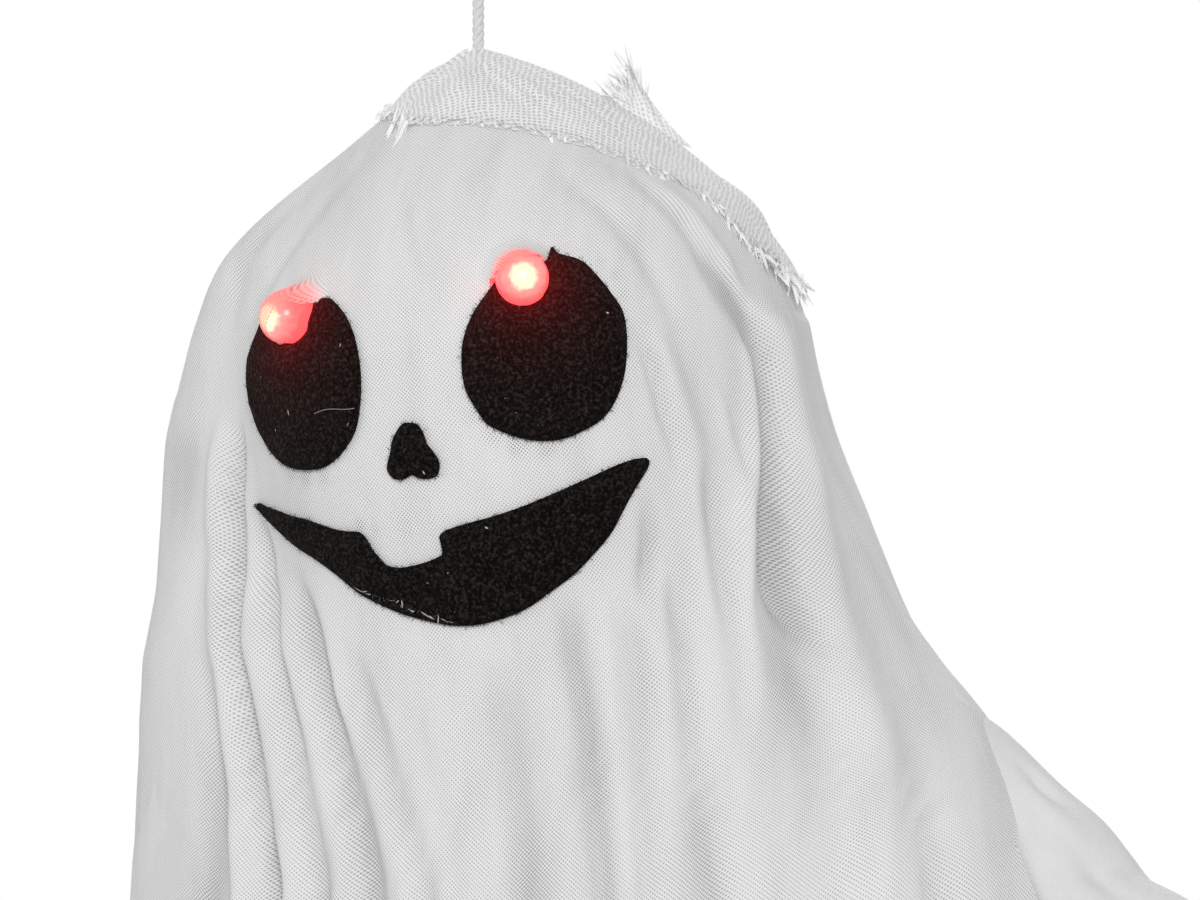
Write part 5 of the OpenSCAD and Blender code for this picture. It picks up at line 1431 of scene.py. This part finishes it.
def make_body(cotton_edge):
    """Skirt, sleeves and arm foam, which turn with the shoulders."""
    cloth = cloth_finish("thin_cloth", (0.82, 0.82, 0.82))
    foam = plain_finish("white_foam", (0.82, 0.82, 0.8), 0.92, 0.06, 200.0, bump=0.5, grain=1400.0)
    skirt, hem, above = make_skirt()
    fray = hem_fray("skirt_fray", hem, above, 700, 2.0, 8.0, cotton_edge)
    dress(skirt, cloth)
    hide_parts("skirt_front", "skirt_left", "skirt_back", "skirt_right")
    declare_cloth(skirt, [fray])
    for side, bend, word in ((1, LEFT_BEND, "left"), (-1, RIGHT_BEND, "right")):
        sleeve, cuff, above = make_sleeve("cloth_sleeve_" + word, bend, side, SEED + 20 + side)
        fringe = hem_fray("cuff_fray_" + word, cuff, above, 220, 1.5, 5.0, cotton_edge)
        dress(sleeve, cloth)
        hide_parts("sleeve_" + word)
        declare_cloth(sleeve, [fringe])
        pad = dress(make_foam("arm_foam_" + word, bend, side), foam)
        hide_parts("arm_padding_" + word)
        carry("shoulders", "foam", pad)


def declare_cloth(piece, fringes):
    """A sheet and its fringes, which turn with the shoulders."""
    carry("shoulders", "cloth", piece, *fringes)


# Lamp leads

LEAD_R = 0.7
LEAD_ROUTES = {
    "left": [(24.2, -38.5, -106.1), (23, -35.9, -107.8), (20.4, -29, -113), (18, -20, -123.5), (17, -10, -139),
             (18.5, -3, -155), (19.4, 0, -172), (19.4, 0, -190), (19.4, 0, -210), (19.4, 0, -228), (19.4, -4, -236),
             (20.4, -11, -242), (20.4, -13.5, -250.4)],
    "right": [(-11.4, -38.5, -111), (-10.1, -35.9, -112.4), (-6, -29, -117), (2, -20, -127), (10, -10, -140),
              (15, -3, -155), (16, 0, -172), (16, 0, -190), (16, 0, -210), (16, 0, -228), (15.8, -4, -236),
              (15, -11, -242), (15, -13.5, -250.4)],
}


def make_leads():
    skin = plain_finish("lead_skin", (0.5, 0.03, 0.03), 0.45, 0.15, 300.0)
    for word, route in LEAD_ROUTES.items():
        path, length = smooth_route(route, 1.0)
        lead = dress(tubes("lamp_lead_" + word, [path], [LEAD_R], 10), skin)
        carry("head", "lead", lead)
        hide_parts("lamp_leads")


# Finishes of the parts that keep their shape

# Colour, roughness, change of tone, scale of the marks and metal
FINISHES = {
    "steel": ((0.6, 0.6, 0.61), 0.34, 0.12, 90.0, 1.0),
    "head_plastic": ((0.82, 0.82, 0.81), 0.5, 0.04, 40.0, 0.0),
    "frame_plastic": ((0.7, 0.7, 0.69), 0.48, 0.06, 50.0, 0.0),
    "box_plastic": ((0.78, 0.78, 0.77), 0.5, 0.05, 45.0, 0.0),
    "brass": ((0.78, 0.58, 0.24), 0.3, 0.12, 160.0, 1.0),
    "gear_plastic": ((0.82, 0.8, 0.73), 0.4, 0.06, 90.0, 0.0),
    "dark_plastic": ((0.05, 0.05, 0.055), 0.45, 0.2, 70.0, 0.0),
    "cell": ((0.07, 0.07, 0.08), 0.28, 0.2, 60.0, 0.0),
    "board": ((0.04, 0.2, 0.09), 0.35, 0.25, 220.0, 0.0),
    "cone": ((0.06, 0.06, 0.06), 0.85, 0.25, 260.0, 0.0),
    "wire": ((0.33, 0.33, 0.34), 0.4, 0.15, 140.0, 1.0),
}


def finish_parts():
    """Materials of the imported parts, by slot, and of the two lamps."""
    made = {slot: plain_finish("part_" + slot, *values) for slot, values in FINISHES.items()}
    for entry in frame["record"]["subparts"]:
        if entry["material_slot"] in made:
            dress(frame["nodes"][entry["node"]], made[entry["material_slot"]])
    for side, word in ((1, "left"), (-1, "right")):
        dress(frame["nodes"]["eye_lamp_" + word], lamp_finish(side))


place_camera()
studio()
make_floor()
finish_parts()
cotton = cord_finish()
hanging_cord(cotton)
make_leads()
veil = make_veil()
cast = veil_caster(veil)
make_face(cast)
mark_felt(veil, cast)
lift_lids(veil)
dress(veil, gauze_finish("knitted_gauze", (0.86, 0.86, 0.86), 0.3))
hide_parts("veil_front", "veil_back")
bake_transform(veil)
wrap, wrap_hem, wrap_in, wrap_turn = make_wrap(cast)
tuft, tuft_ends, tuft_aims = make_tuft()
scrim = scrim_finish()
yarn = yarn_finish()
fray = wrap_fray(wrap_hem, wrap_in, wrap_turn, tuft_ends, tuft_aims, yarn)
carry("head", "scrim", dress(wrap, scrim), dress(tuft, scrim), fray)
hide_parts("crown_wrap")
make_body(yarn)
